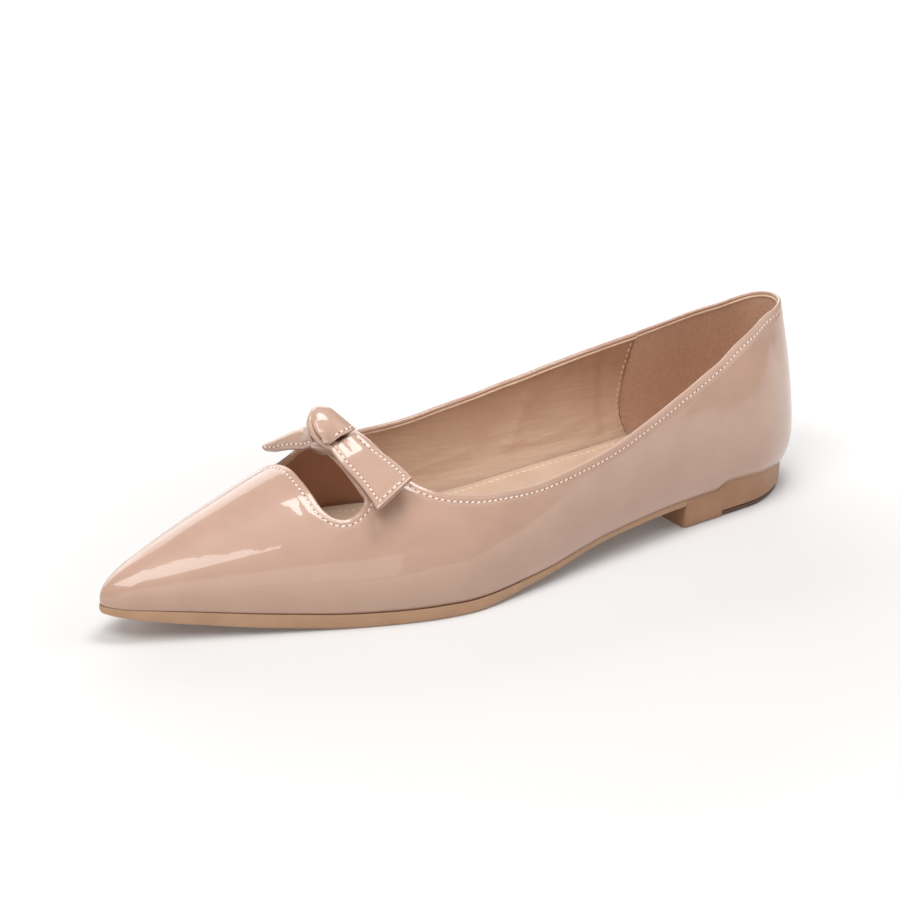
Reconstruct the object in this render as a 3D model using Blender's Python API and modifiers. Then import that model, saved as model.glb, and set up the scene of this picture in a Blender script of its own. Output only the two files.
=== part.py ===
import math

import bmesh
import bpy
import numpy as np

for old in list(bpy.data.objects):
    bpy.data.objects.remove(old, do_unlink=True)

# Driving sizes in metres
LENGTH = 0.262
BALL_WIDTH = 0.080
INSTEP = 0.0515
HEEL_HEIGHT = 0.012
COLLAR = 0.0655
WALL = 0.0017
GAP = 0.0003
HEEL_ROUND = 0.030
TOE_ROUND = 0.0076
HEEL_FAN = 0.045
HEEL_PULL = 0.028
TOE_FAN = 0.200
TOE_PULL = 0.024
TUCK_RISE = 0.008
HEEL_BREAST = 0.061
TIP_START = 0.0440
TIP_HEIGHT = 0.0018
INSOLE_THICK = 0.0024
TAIL_THICK = 0.0016

# Places along the shoe where the moulded side steps up at the heel, as shares of the length
HEEL_STEP = (0.156, 0.160, 0.166, 0.172, 0.178, 0.184, 0.190)

OUTER = -1
INNER = 1

# Outline of the seat: half widths as shares of the ball width
PLAN_COLUMNS = ("along", "outer", "inner")
PLAN = (
    (0.000, 0.304, 0.306),
    (0.057, 0.314, 0.308),
    (0.115, 0.340, 0.310),
    (0.229, 0.376, 0.315),
    (0.363, 0.438, 0.325),
    (0.496, 0.523, 0.373),
    (0.592, 0.560, 0.440),
    (0.640, 0.538, 0.449),
    (0.668, 0.513, 0.442),
    (0.725, 0.445, 0.401),
    (0.821, 0.310, 0.292),
    (0.916, 0.171, 0.174),
    (1.000, 0.051, 0.054),
)

# Shape of the side wall: belly and tuck as shares of the ball width, the rest as shares of the section
WALL_COLUMNS = ("along", "belly", "swell", "shoulder", "tuck", "lid")
WALLS = (
    (0.000, 0.040, 0.35, 0.81, 0.022, 0.75),
    (0.057, 0.044, 0.35, 0.56, 0.016, 0.11),
    (0.115, 0.046, 0.34, 0.55, 0.011, 0.10),
    (0.229, 0.056, 0.36, 0.65, 0.015, 0.00),
    (0.363, 0.065, 0.38, 0.67, 0.015, 0.00),
    (0.496, 0.055, 0.40, 0.62, 0.010, 0.00),
    (0.592, 0.055, 0.48, 0.62, 0.006, 0.00),
    (0.668, 0.050, 0.50, 0.58, 0.006, 0.00),
    (0.725, 0.046, 0.49, 0.55, 0.006, 0.00),
    (0.821, 0.048, 0.50, 0.57, 0.006, 0.00),
    (0.916, 0.039, 0.50, 0.60, 0.005, 0.00),
    (1.000, 0.024, 0.50, 0.60, 0.004, 0.00),
)

# Seat height and edge thickness of the sole as shares of the heel height, welt as a share of the ball width
SOLE_COLUMNS = ("along", "seat", "edge", "welt")
SOLE = (
    (0.000, 0.810, 0.250, 0.000),
    (0.080, 0.930, 0.250, 0.000),
    (0.160, 1.030, 0.250, 0.000),
    (0.184, 0.862, 0.230, 0.001),
    (0.233, 0.860, 0.195, 0.001),
    (0.363, 0.735, 0.180, 0.001),
    (0.496, 0.433, 0.240, 0.004),
    (0.592, 0.336, 0.336, 0.009),
    (0.668, 0.344, 0.344, 0.010),
    (0.725, 0.367, 0.367, 0.010),
    (0.821, 0.525, 0.375, 0.009),
    (0.916, 0.755, 0.342, 0.007),
    (1.000, 0.958, 0.200, 0.006),
)

# Height of the crown line as a share of the instep; it is only a guide line over the open throat
RIDGE_COLUMNS = ("along", "crown")
RIDGE = (
    (0.000, 1.476),
    (0.107, 1.476),
    (0.229, 1.495),
    (0.363, 1.495),
    (0.477, 1.272),
    (0.573, 1.056),
    (0.611, 1.000),
    (0.668, 0.924),
    (0.725, 0.858),
    (0.821, 0.703),
    (0.916, 0.528),
    (1.000, 0.330),
)

# Height of the top edge on either side as shares of the collar's height
TOPLINE_COLUMNS = ("along", "outer", "inner")
TOPLINE = (
    (-0.020, 1.005, 0.985),
    (0.000, 0.998, 0.974),
    (0.023, 0.995, 0.930),
    (0.050, 0.980, 0.890),
    (0.093, 0.932, 0.850),
    (0.128, 0.882, 0.826),
    (0.168, 0.808, 0.802),
    (0.206, 0.756, 0.780),
    (0.244, 0.710, 0.757),
    (0.281, 0.667, 0.732),
    (0.317, 0.630, 0.705),
    (0.351, 0.598, 0.677),
    (0.386, 0.575, 0.655),
    (0.420, 0.557, 0.632),
    (0.450, 0.543, 0.617),
    (0.481, 0.532, 0.600),
    (0.512, 0.528, 0.576),
    (0.540, 0.531, 0.560),
    (0.567, 0.536, 0.554),
    (0.592, 0.551, 0.556),
    (0.615, 0.570, 0.568),
    (0.633, 0.603, 0.600),
    (0.643, 0.640, 0.636),
    (0.649, 0.690, 0.686),
    (0.651, 0.760, 0.760),
    (0.651, 1.600, 1.600),
)

# Outline of the cut-out seen from above: place along the shoe and half width as a share of the ball width
CUTOUT_COLUMNS = ("along", "across")
CUTOUT = (
    (0.7490, 0.000),
    (0.7500, 0.095),
    (0.7494, 0.180),
    (0.7478, 0.240),
    (0.7415, 0.283),
    (0.7335, 0.308),
    (0.7240, 0.322),
    (0.7130, 0.326),
    (0.7015, 0.319),
    (0.6948, 0.300),
    (0.6955, 0.265),
    (0.6968, 0.200),
    (0.6972, 0.100),
    (0.6972, 0.000),
)
CUTOUT_INNER = 0.92

# Bow: knot half length at places across the shoe, as shares of the ball width
KNOT_COLUMNS = ("across", "half_length", "rise")
KNOT = (
    (-0.074, 0.048, 0.062),
    (-0.066, 0.078, 0.092),
    (-0.048, 0.094, 0.112),
    (-0.020, 0.102, 0.122),
    (0.010, 0.104, 0.124),
    (0.040, 0.096, 0.114),
    (0.060, 0.080, 0.094),
    (0.070, 0.048, 0.062),
)
KNOT_PLACE = 0.690

# Bow tails: place down the strap's side, front and back edges as shares of the length, lift in metres
TAIL_COLUMNS = ("down", "outer_front", "outer_back", "outer_lift", "inner_front", "inner_back", "inner_lift")
TAIL = (
    (0.000, 0.6950, 0.658, 0.0007, 0.7080, 0.668, 0.0030),
    (0.150, 0.6945, 0.655, 0.0007, 0.7110, 0.669, 0.0033),
    (0.350, 0.6930, 0.651, 0.0008, 0.7160, 0.672, 0.0036),
    (0.550, 0.6910, 0.647, 0.0010, 0.7210, 0.676, 0.0039),
    (0.750, 0.6890, 0.643, 0.0014, 0.7250, 0.681, 0.0042),
    (1.000, 0.6870, 0.639, 0.0020, 0.7295, 0.687, 0.0047),
)

# Where a tail starts and where its front and back corners end, as places t on the side wall
TAIL_TOP = 0.905
TAIL_LOW_OUTER = (0.520, 0.600)
TAIL_LOW_INNER = (0.620, 0.545)


def column(table, names, name):
    place = names.index(name)
    return [row[place] for row in table]


def smooth(xs, ys, x):
    """Monotone cubic through the rows of a table."""
    xs = np.asarray(xs, float)
    ys = np.asarray(ys, float)
    step = np.diff(xs)
    rate = np.diff(ys) / step
    slope = np.zeros(len(xs))
    for i in range(1, len(xs) - 1):
        if rate[i - 1] * rate[i] > 0.0:
            w1 = 2.0 * step[i] + step[i - 1]
            w2 = step[i] + 2.0 * step[i - 1]
            slope[i] = (w1 + w2) / (w1 / rate[i - 1] + w2 / rate[i])
    slope[0] = rate[0]
    slope[-1] = rate[-1]
    x = np.clip(np.asarray(x, float), xs[0], xs[-1])
    k = np.clip(np.searchsorted(xs, x, side="right") - 1, 0, len(step) - 1)
    t = (x - xs[k]) / step[k]
    first = (1.0 + 2.0 * t) * (1.0 - t) ** 2 * ys[k] + t * (1.0 - t) ** 2 * step[k] * slope[k]
    second = t * t * (3.0 - 2.0 * t) * ys[k + 1] + t * t * (t - 1.0) * step[k] * slope[k + 1]
    return first + second


def plan(name, s):
    along = column(PLAN, PLAN_COLUMNS, "along")
    return BALL_WIDTH * smooth(along, column(PLAN, PLAN_COLUMNS, name), np.asarray(s) / LENGTH)


def wall(name, s):
    along = column(WALLS, WALL_COLUMNS, "along")
    return smooth(along, column(WALLS, WALL_COLUMNS, name), np.asarray(s) / LENGTH)


def sole(name, s):
    along = column(SOLE, SOLE_COLUMNS, "along")
    scale = BALL_WIDTH if name == "welt" else HEEL_HEIGHT
    return scale * smooth(along, column(SOLE, SOLE_COLUMNS, name), np.asarray(s) / LENGTH)


def ridge(s):
    along = column(RIDGE, RIDGE_COLUMNS, "along")
    return INSTEP * smooth(along, column(RIDGE, RIDGE_COLUMNS, "crown"), np.asarray(s) / LENGTH)


def half_width(side, s):
    s = np.asarray(s, float)
    back = np.clip(1.0 - s / HEEL_ROUND, 0.0, 1.0)
    front = np.clip(1.0 - (LENGTH - s) / TOE_ROUND, 0.0, 1.0)
    ends = np.sqrt(1.0 - back * back) * np.sqrt(1.0 - front * front)
    return plan("outer" if side == OUTER else "inner", s) * ends


def fan_origin(s):
    """Place on the centre line that a section faces: straight across, fanned at heel and toe."""
    heel = HEEL_PULL * np.clip(1.0 - s / HEEL_FAN, 0.0, 1.0) ** 2
    toe = TOE_PULL * np.clip((s - TOE_FAN) / (LENGTH - TOE_FAN), 0.0, 1.0) ** 2
    return s + heel - toe


def section_frame(side, s):
    s = np.asarray(s, float)
    origin = fan_origin(s)
    reach_x = s - origin
    reach_y = half_width(side, s)
    reach = np.hypot(reach_x, reach_y)
    return origin, reach, reach_x / reach, reach_y / reach


def place(side, origin, dir_x, dir_y, r, z):
    return np.stack(np.broadcast_arrays(LENGTH / 2.0 - origin - dir_x * r, side * dir_y * r, z), -1)


def shell(side, s, t):
    """Point on the outside of the upper: t is 0 at the sole and 1 on the crown line."""
    s, t = np.broadcast_arrays(np.asarray(s, float), np.asarray(t, float))
    origin, reach, dir_x, dir_y = section_frame(side, s)
    seat = sole("seat", s)
    crown = ridge(origin)
    rise = crown - seat
    belly = BALL_WIDTH * wall("belly", s)
    shoulder = wall("shoulder", s)
    fall = (ridge(origin - 0.0005) - ridge(origin + 0.0005)) / 0.001
    drop = fall * np.clip(dir_x, 0.0, 1.0) * shoulder * reach * np.clip((s - TOE_FAN) / 0.010, 0.0, 1.0)
    b0 = (1.0 - t) ** 3
    b1 = 3.0 * t * (1.0 - t) ** 2
    b2 = 3.0 * t * t * (1.0 - t)
    b3 = t ** 3
    r = b0 * reach + b1 * (reach + belly) + b2 * shoulder * reach + b3 * wall("lid", s) * reach
    z = seat + rise * (b1 * wall("swell", s) + b2 + b3) - b2 * drop
    low = np.clip(1.0 - (z - seat) / TUCK_RISE, 0.0, 1.0)
    r = r - BALL_WIDTH * wall("tuck", s) * low ** 2
    return place(side, origin, dir_x, dir_y, r, z)


def seat_edge(side, s, outset):
    """Section frame and radius of the seat outline, moved outwards by outset."""
    origin, reach, dir_x, dir_y = section_frame(side, s)
    return origin, dir_x, dir_y, reach - BALL_WIDTH * wall("tuck", s) + outset


def stations(heel_count, middle_count, toe_count, first=0.0, last=LENGTH):
    heel = HEEL_ROUND * (1.0 - np.cos(np.linspace(0.0, math.pi / 2.0, heel_count)))
    toe = LENGTH - TOE_ROUND * (1.0 - np.cos(np.linspace(math.pi / 2.0, 0.0, toe_count)))
    middle = np.linspace(HEEL_ROUND, LENGTH - TOE_ROUND, middle_count)
    step = LENGTH * np.asarray(HEEL_STEP)
    middle = np.array([m for m in middle if np.min(np.abs(step - m)) > 0.0016])
    every = np.sort(np.concatenate([heel[:-1], middle, step, toe[1:]]))
    return every[(every >= first) & (every <= last)]


def material(name, colour, roughness, coat):
    made = bpy.data.materials.new(name)
    made.use_nodes = True
    surface = made.node_tree.nodes["Principled BSDF"]
    surface.inputs["Base Color"].default_value = (*colour, 1.0)
    surface.inputs["Roughness"].default_value = roughness
    surface.inputs["Coat Weight"].default_value = coat
    return made


def finish_mesh(mesh, name, merge):
    bmesh.ops.remove_doubles(mesh, verts=mesh.verts, dist=merge)
    bmesh.ops.dissolve_degenerate(mesh, edges=mesh.edges, dist=merge)
    bmesh.ops.recalc_face_normals(mesh, faces=mesh.faces)
    data = bpy.data.meshes.new(name)
    mesh.to_mesh(data)
    mesh.free()
    return data


def add_object(name, data, look=None):
    made = bpy.data.objects.new(name, data)
    bpy.context.scene.collection.objects.link(made)
    if look is not None:
        data.materials.append(look)
    return made


def grid_faces(mesh, rows, closed_rows=False, closed_columns=False):
    made = [[mesh.verts.new(tuple(p)) for p in row] for row in rows]
    row_total = len(made)
    column_total = len(made[0])
    for i in range(row_total if closed_rows else row_total - 1):
        for j in range(column_total if closed_columns else column_total - 1):
            a = made[i][j]
            b = made[(i + 1) % row_total][j]
            c = made[(i + 1) % row_total][(j + 1) % column_total]
            d = made[i][(j + 1) % column_total]
            mesh.faces.new((a, b, c, d))
    return made


# Cutters stay in a collection of their own
cutters = bpy.data.collections.new("cutters")
bpy.context.scene.collection.children.link(cutters)


def add_cutter(name, data):
    made = bpy.data.objects.new(name, data)
    cutters.objects.link(made)
    made.hide_render = True
    made.display_type = "WIRE"
    return made


def cut(target, cutter, operation="DIFFERENCE"):
    step = target.modifiers.new(cutter.name, "BOOLEAN")
    step.operation = operation
    step.solver = "EXACT"
    step.object = cutter


def prism(name, first, second):
    """Closed solid between two outlines that have the same number of points."""
    mesh = bmesh.new()
    made = grid_faces(mesh, (first, second), closed_columns=True)
    mesh.faces.new(made[0])
    mesh.faces.new(made[1])
    return add_cutter(name, finish_mesh(mesh, name, 1e-6))


patent = material("upper_patent", (0.60, 0.40, 0.31), 0.18, 0.8)
moulded = material("sole_tan", (0.42, 0.24, 0.14), 0.45, 0.0)
dark = material("heel_tip_dark", (0.12, 0.07, 0.045), 0.55, 0.0)
sock = material("insole_beige", (0.66, 0.48, 0.33), 0.6, 0.0)
bow = material("bow_patent", (0.62, 0.42, 0.33), 0.18, 0.8)

# Upper: one lofted sheet given a wall, then opened at the throat and the cut-out
wall_steps = np.array([0.0, 0.03, 0.065, 0.11, 0.17, 0.25, 0.34, 0.44, 0.54, 0.64, 0.75, 0.87, 1.0])
upper_places = stations(10, 38, 6)
sheet = bmesh.new()
for side in (OUTER, INNER):
    grid_faces(sheet, shell(side, upper_places[:, None], wall_steps[None, :]))
upper = add_object("upper", finish_mesh(sheet, "upper", 1e-5), patent)
thicken = upper.modifiers.new("wall", "SOLIDIFY")
thicken.thickness = WALL
thicken.offset = -1.0
thicken.use_even_offset = True
thicken.use_rim = True


def throat_outline(y):
    along = column(TOPLINE, TOPLINE_COLUMNS, "along")
    outer = column(TOPLINE, TOPLINE_COLUMNS, "outer")
    inner = column(TOPLINE, TOPLINE_COLUMNS, "inner")
    share = 0.5 + 0.5 * y / 0.026
    line = [(LENGTH * (0.5 - a), y, COLLAR * (o + share * (i - o))) for a, o, i in zip(along, outer, inner)]
    return line + [(LENGTH * (0.5 - along[0]), y, COLLAR * 1.6)]


throat = prism("throat_cutter", throat_outline(-0.060), throat_outline(0.060))
cut(upper, throat)


def cutout_outline(z):
    outer = [(LENGTH * (0.5 - a), -BALL_WIDTH * w, z) for a, w in CUTOUT]
    inner = [(LENGTH * (0.5 - a), BALL_WIDTH * w * CUTOUT_INNER, z) for a, w in reversed(CUTOUT[1:-1])]
    return outer + inner


cutout = prism("vamp_cutter", cutout_outline(0.022), cutout_outline(0.090))
cut(upper, cutout)

# Outsole: sections fanned round the outline, heel block added, heel tip let in
sole_places = stations(10, 38, 6)

# Section of the sole: share of the half width, inset in metres, height between bottom and top
SOLE_EDGE = (
    (0.00, 0.0000, 1.00),
    (0.55, 0.0000, 1.00),
    (1.00, 0.0006, 1.00),
    (1.00, 0.0000, 0.86),
    (1.00, 0.0000, 0.45),
    (1.00, 0.0004, 0.16),
    (1.00, 0.0012, 0.00),
    (0.55, 0.0000, 0.00),
    (0.00, 0.0000, 0.00),
)


def sole_section(side, s):
    """From the top centre over the edge to the bottom centre."""
    origin, dir_x, dir_y, r = seat_edge(side, s, sole("welt", s))
    rows = []
    for share, inset, height in SOLE_EDGE:
        reach = share * r - inset
        here = origin + dir_x * reach
        top = sole("seat", here) - GAP
        low = np.maximum(sole("seat", here) - sole("edge", here), 0.0)
        rows.append(place(side, origin, dir_x, dir_y, reach, low + height * (top - low)))
    return np.stack(rows, -2)


body = bmesh.new()
for side in (OUTER, INNER):
    grid_faces(body, sole_section(side, sole_places))
outsole = add_object("outsole", finish_mesh(body, "outsole", 1e-5), moulded)

# Heel block: the seat outline behind the breast, drafted inwards to the floor
HEEL_LEVELS = ((1.0, 0.0003), (0.55, 0.0004), (0.10, 0.0006), (0.0, 0.0009))


def heel_ring(z_share, inset, first, last, bottom=0.0, top=None):
    """Outline of the heel at one level, from the breast round the back to the breast."""
    places = stations(10, 38, 6, first, last)
    places = np.concatenate([places[places < last - 1e-6], [last]])
    ring = []
    for side, order in ((OUTER, places[::-1]), (INNER, places[1:])):
        origin, dir_x, dir_y, r = seat_edge(side, order, -inset)
        level = sole("seat", order) - 0.0012 if top is None else np.full(len(order), top)
        z = bottom + z_share * (level - bottom)
        ring.extend(place(side, origin, dir_x, dir_y, r, z))
    return ring


def heel_solid(name, last, bottom=0.0, top=None, levels=HEEL_LEVELS, extra=0.0):
    mesh = bmesh.new()
    rings = [heel_ring(share, inset + extra, 0.0, last, bottom, top) for share, inset in levels]
    made = grid_faces(mesh, rings, closed_columns=True)
    mesh.faces.new(made[0])
    mesh.faces.new(made[-1])
    return finish_mesh(mesh, name, 1e-6)


heel = add_cutter("heel_block", heel_solid("heel_block", HEEL_BREAST))
cut(outsole, heel, "UNION")
recess_x = LENGTH / 2.0 - TIP_START - GAP
recess_depth = TIP_HEIGHT + GAP
corner = [(recess_x, -0.05), (0.16, -0.05), (0.16, 0.05), (recess_x, 0.05)]
recess = prism("tip_recess", [(x, y, -0.01) for x, y in corner], [(x, y, recess_depth) for x, y in corner])
cut(outsole, recess)

# Heel tip: same outline as the heel, filling the recess down to the floor
TIP_LEVELS = ((1.0, 0.0), (0.22, 0.0001), (0.0, 0.0004))
tip_data = heel_solid("heel_tip", TIP_START, 0.0, TIP_HEIGHT, TIP_LEVELS, 0.0006)
heel_tip = add_object("heel_tip", tip_data, dark)

# Insole: lies on the outsole, clear of the upper's wall
insole_places = stations(10, 38, 6, 0.0, LENGTH - 0.003)


# Section of the insole: share of the half width, inset and drop below the top in metres
INSOLE_EDGE = (
    (0.0, 0.0000, 0.0000),
    (0.6, 0.0000, 0.0000),
    (1.0, 0.0008, 0.0001),
    (1.0, 0.0000, 0.0009),
    (1.0, 0.0000, 0.0020),
    (1.0, 0.0003, None),
    (0.6, 0.0000, None),
    (0.0, 0.0000, None),
)

# Top of the insole: seat heights without the heel's step, as shares of the heel height
INSOLE_COLUMNS = ("along", "seat")
INSOLE_TOP = (
    (0.000, 0.820),
    (0.080, 0.940),
    (0.160, 1.000),
    (0.240, 0.900),
    (0.363, 0.735),
    (0.496, 0.433),
    (0.592, 0.336),
    (0.725, 0.367),
    (0.821, 0.525),
    (0.916, 0.755),
    (1.000, 0.958),
)


def insole_section(side, s):
    origin, dir_x, dir_y, r = seat_edge(side, s, -(WALL + 0.0006))
    along = column(INSOLE_TOP, INSOLE_COLUMNS, "along")
    seats = column(INSOLE_TOP, INSOLE_COLUMNS, "seat")
    rows = []
    for share, inset, below in INSOLE_EDGE:
        reach = share * r - inset
        here = origin + dir_x * reach
        low = sole("seat", here)
        top = np.maximum(HEEL_HEIGHT * smooth(along, seats, here / LENGTH), low) + INSOLE_THICK
        rows.append(place(side, origin, dir_x, dir_y, reach, low if below is None else top - below))
    return np.stack(rows, -2)


pad = bmesh.new()
for side in (OUTER, INNER):
    rows = insole_section(side, insole_places)
    made = grid_faces(pad, rows)
    end = made[-1]
    for k in range(3):
        pad.faces.new((end[k], end[k + 1], end[6 - k], end[7 - k]))
insole = add_object("insole", finish_mesh(pad, "insole", 1e-5), sock)


def shell_at(side, s, t):
    """Point of the upper and its outward normal."""
    here = shell(side, s, t)
    ahead = shell(side, s + 0.0004, t) - shell(side, s - 0.0004, t)
    up = shell(side, s, min(t + 0.002, 1.0)) - shell(side, s, t - 0.002)
    normal = np.cross(ahead, up)
    normal = normal / np.linalg.norm(normal)
    if normal[2] < 0.0:
        normal = -normal
    return here, normal


def shell_across(s, y):
    """Point of the upper straight above a place on the foot."""
    side = OUTER if y <= 0.0 else INNER
    t = np.linspace(0.0, 1.0, 400)
    line = shell(side, s, t)
    reach = np.abs(line[:, 1])
    best = int(np.argmax(reach))
    at = float(np.interp(-abs(y), -reach[best:], t[best:]))
    return shell(side, s, at)


# Knot: rounded lump sitting on the strap
KNOT_TURNS = 12
KNOT_LIFT = 0.0005
KNOT_RIM = 0.0008
knot_rows = []
for across, half_length, rise in KNOT:
    ring = []
    for k in range(KNOT_TURNS + 1):
        turn = math.pi * k / KNOT_TURNS
        s = LENGTH * KNOT_PLACE + BALL_WIDTH * half_length * math.cos(turn)
        base = shell_across(s, BALL_WIDTH * across)
        ring.append(base + np.array((0.0, 0.0, KNOT_LIFT + KNOT_RIM + BALL_WIDTH * rise * math.sin(turn) ** 0.7)))
    for k in range(KNOT_TURNS, -1, -2):
        turn = math.pi * k / KNOT_TURNS
        s = LENGTH * KNOT_PLACE + BALL_WIDTH * half_length * math.cos(turn)
        base = shell_across(s, BALL_WIDTH * across)
        ring.append(base + np.array((0.0, 0.0, KNOT_LIFT)))
    knot_rows.append(ring)
lump = bmesh.new()
made = grid_faces(lump, knot_rows, closed_columns=True)
lump.faces.new(made[0])
lump.faces.new(made[-1])
bow_knot = add_object("bow_knot", finish_mesh(lump, "bow_knot", 1e-6), bow)


def tail_solid(side, name):
    """Flat two-layer tail that comes out of the knot and points down one side."""
    own = "outer" if side == OUTER else "inner"
    low_front, low_back = TAIL_LOW_OUTER if side == OUTER else TAIL_LOW_INNER
    downs = column(TAIL, TAIL_COLUMNS, "down")
    under = []
    over = []
    for down in np.linspace(0.0, 1.0, 11):
        front = LENGTH * smooth(downs, column(TAIL, TAIL_COLUMNS, own + "_front"), down)
        back = LENGTH * smooth(downs, column(TAIL, TAIL_COLUMNS, own + "_back"), down)
        lift = smooth(downs, column(TAIL, TAIL_COLUMNS, own + "_lift"), down)
        low_row = []
        high_row = []
        for across in np.linspace(0.0, 1.0, 6):
            low = low_front + across * (low_back - low_front)
            t = TAIL_TOP + down * (low - TAIL_TOP)
            base, normal = shell_at(side, front + across * (back - front), t)
            low_row.append(base + normal * lift)
            high_row.append(base + normal * (lift + TAIL_THICK))
        under.append(low_row)
        over.append(high_row)
    mesh = bmesh.new()
    rows = [list(low) + list(reversed(high)) for low, high in zip(under, over)]
    made = grid_faces(mesh, rows, closed_columns=True)
    count = len(under[0])
    for end in (made[0], made[-1]):
        for k in range(count - 1):
            mesh.faces.new((end[k], end[k + 1], end[2 * count - 2 - k], end[2 * count - 1 - k]))
    return add_object(name, finish_mesh(mesh, name, 1e-6), bow)


bow_tail_outer = tail_solid(OUTER, "bow_tail_outer")
bow_tail_inner = tail_solid(INNER, "bow_tail_inner")

# Stand the shoe on the floor with its box centred on the origin
bpy.context.view_layer.update()
graph = bpy.context.evaluated_depsgraph_get()
corners = []
for item in (upper, outsole, heel_tip, insole, bow_knot, bow_tail_outer, bow_tail_inner):
    solid = item.evaluated_get(graph)
    corners.extend(solid.matrix_world @ vertex.co for vertex in solid.data.vertices)
low = [min(corner[axis] for corner in corners) for axis in range(3)]
high = [max(corner[axis] for corner in corners) for axis in range(3)]
for item in bpy.data.objects:
    item.location.x -= 0.5 * (low[0] + high[0])
    item.location.y -= 0.5 * (low[1] + high[1])
    item.location.z -= low[2]
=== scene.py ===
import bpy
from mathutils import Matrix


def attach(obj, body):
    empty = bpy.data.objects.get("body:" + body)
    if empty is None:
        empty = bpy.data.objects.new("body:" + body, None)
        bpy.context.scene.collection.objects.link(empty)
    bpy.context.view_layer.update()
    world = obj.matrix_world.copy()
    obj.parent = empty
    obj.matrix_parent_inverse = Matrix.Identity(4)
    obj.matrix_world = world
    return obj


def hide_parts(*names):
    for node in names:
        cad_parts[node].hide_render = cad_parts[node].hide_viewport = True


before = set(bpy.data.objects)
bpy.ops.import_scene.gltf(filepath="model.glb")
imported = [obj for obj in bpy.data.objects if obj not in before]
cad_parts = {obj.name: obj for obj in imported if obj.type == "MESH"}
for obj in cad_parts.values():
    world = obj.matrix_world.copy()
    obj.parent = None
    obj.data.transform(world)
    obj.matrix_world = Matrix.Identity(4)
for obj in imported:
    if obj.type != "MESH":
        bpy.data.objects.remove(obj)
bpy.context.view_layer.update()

import math

import bmesh
import bpy
import numpy as np
from mathutils import Matrix
from mathutils.kdtree import KDTree

# ------------------------------------------------ sizes in metres, as in the part's source
LENGTH = 0.262
BALL_WIDTH = 0.080
INSTEP = 0.0515
HEEL_HEIGHT = 0.012
COLLAR = 0.0655
WALL = 0.0017
GAP = 0.0003
HEEL_ROUND = 0.030
TOE_ROUND = 0.0076
HEEL_FAN = 0.045
HEEL_PULL = 0.028
TOE_FAN = 0.200
TOE_PULL = 0.024
TOE_EASE = 0.010
TUCK_RISE = 0.008
HEEL_BREAST = 0.061
TIP_START = 0.0440
TIP_HEIGHT = 0.0018
INSOLE_THICK = 0.0024
TAIL_THICK = 0.0016
OUTER = -1
INNER = 1
SIDES = (OUTER, INNER)
QUARTER = math.pi / 2.0

# Where the middle of the model's box lies in the frame that the tables are written in
BOX_MIDDLE = np.array((0.000273526, -0.004410621, 0.0))

PLAN_COLUMNS = ("along", "outer", "inner")
PLAN = (
    (0.000, 0.304, 0.306),
    (0.057, 0.314, 0.308),
    (0.115, 0.340, 0.310),
    (0.229, 0.376, 0.315),
    (0.363, 0.438, 0.325),
    (0.496, 0.523, 0.373),
    (0.592, 0.560, 0.440),
    (0.640, 0.538, 0.449),
    (0.668, 0.513, 0.442),
    (0.725, 0.445, 0.401),
    (0.821, 0.310, 0.292),
    (0.916, 0.171, 0.174),
    (1.000, 0.051, 0.054),
)
WALL_COLUMNS = ("along", "belly", "swell", "shoulder", "tuck", "lid")
WALLS = (
    (0.000, 0.040, 0.35, 0.81, 0.022, 0.75),
    (0.057, 0.044, 0.35, 0.56, 0.016, 0.11),
    (0.115, 0.046, 0.34, 0.55, 0.011, 0.10),
    (0.229, 0.056, 0.36, 0.65, 0.015, 0.00),
    (0.363, 0.065, 0.38, 0.67, 0.015, 0.00),
    (0.496, 0.055, 0.40, 0.62, 0.010, 0.00),
    (0.592, 0.055, 0.48, 0.62, 0.006, 0.00),
    (0.668, 0.050, 0.50, 0.58, 0.006, 0.00),
    (0.725, 0.046, 0.49, 0.55, 0.006, 0.00),
    (0.821, 0.048, 0.50, 0.57, 0.006, 0.00),
    (0.916, 0.039, 0.50, 0.60, 0.005, 0.00),
    (1.000, 0.024, 0.50, 0.60, 0.004, 0.00),
)
SOLE_COLUMNS = ("along", "seat", "edge", "welt")
SOLE = (
    (0.000, 0.810, 0.250, 0.000),
    (0.080, 0.930, 0.250, 0.000),
    (0.160, 1.030, 0.250, 0.000),
    (0.184, 0.862, 0.230, 0.001),
    (0.233, 0.860, 0.195, 0.001),
    (0.363, 0.735, 0.180, 0.001),
    (0.496, 0.433, 0.240, 0.004),
    (0.592, 0.336, 0.336, 0.009),
    (0.668, 0.344, 0.344, 0.010),
    (0.725, 0.367, 0.367, 0.010),
    (0.821, 0.525, 0.375, 0.009),
    (0.916, 0.755, 0.342, 0.007),
    (1.000, 0.958, 0.200, 0.006),
)
RIDGE_COLUMNS = ("along", "crown")
RIDGE = (
    (0.000, 1.476),
    (0.107, 1.476),
    (0.229, 1.495),
    (0.363, 1.495),
    (0.477, 1.272),
    (0.573, 1.056),
    (0.611, 1.000),
    (0.668, 0.924),
    (0.725, 0.858),
    (0.821, 0.703),
    (0.916, 0.528),
    (1.000, 0.330),
)
TOPLINE_COLUMNS = ("along", "outer", "inner")
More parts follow.
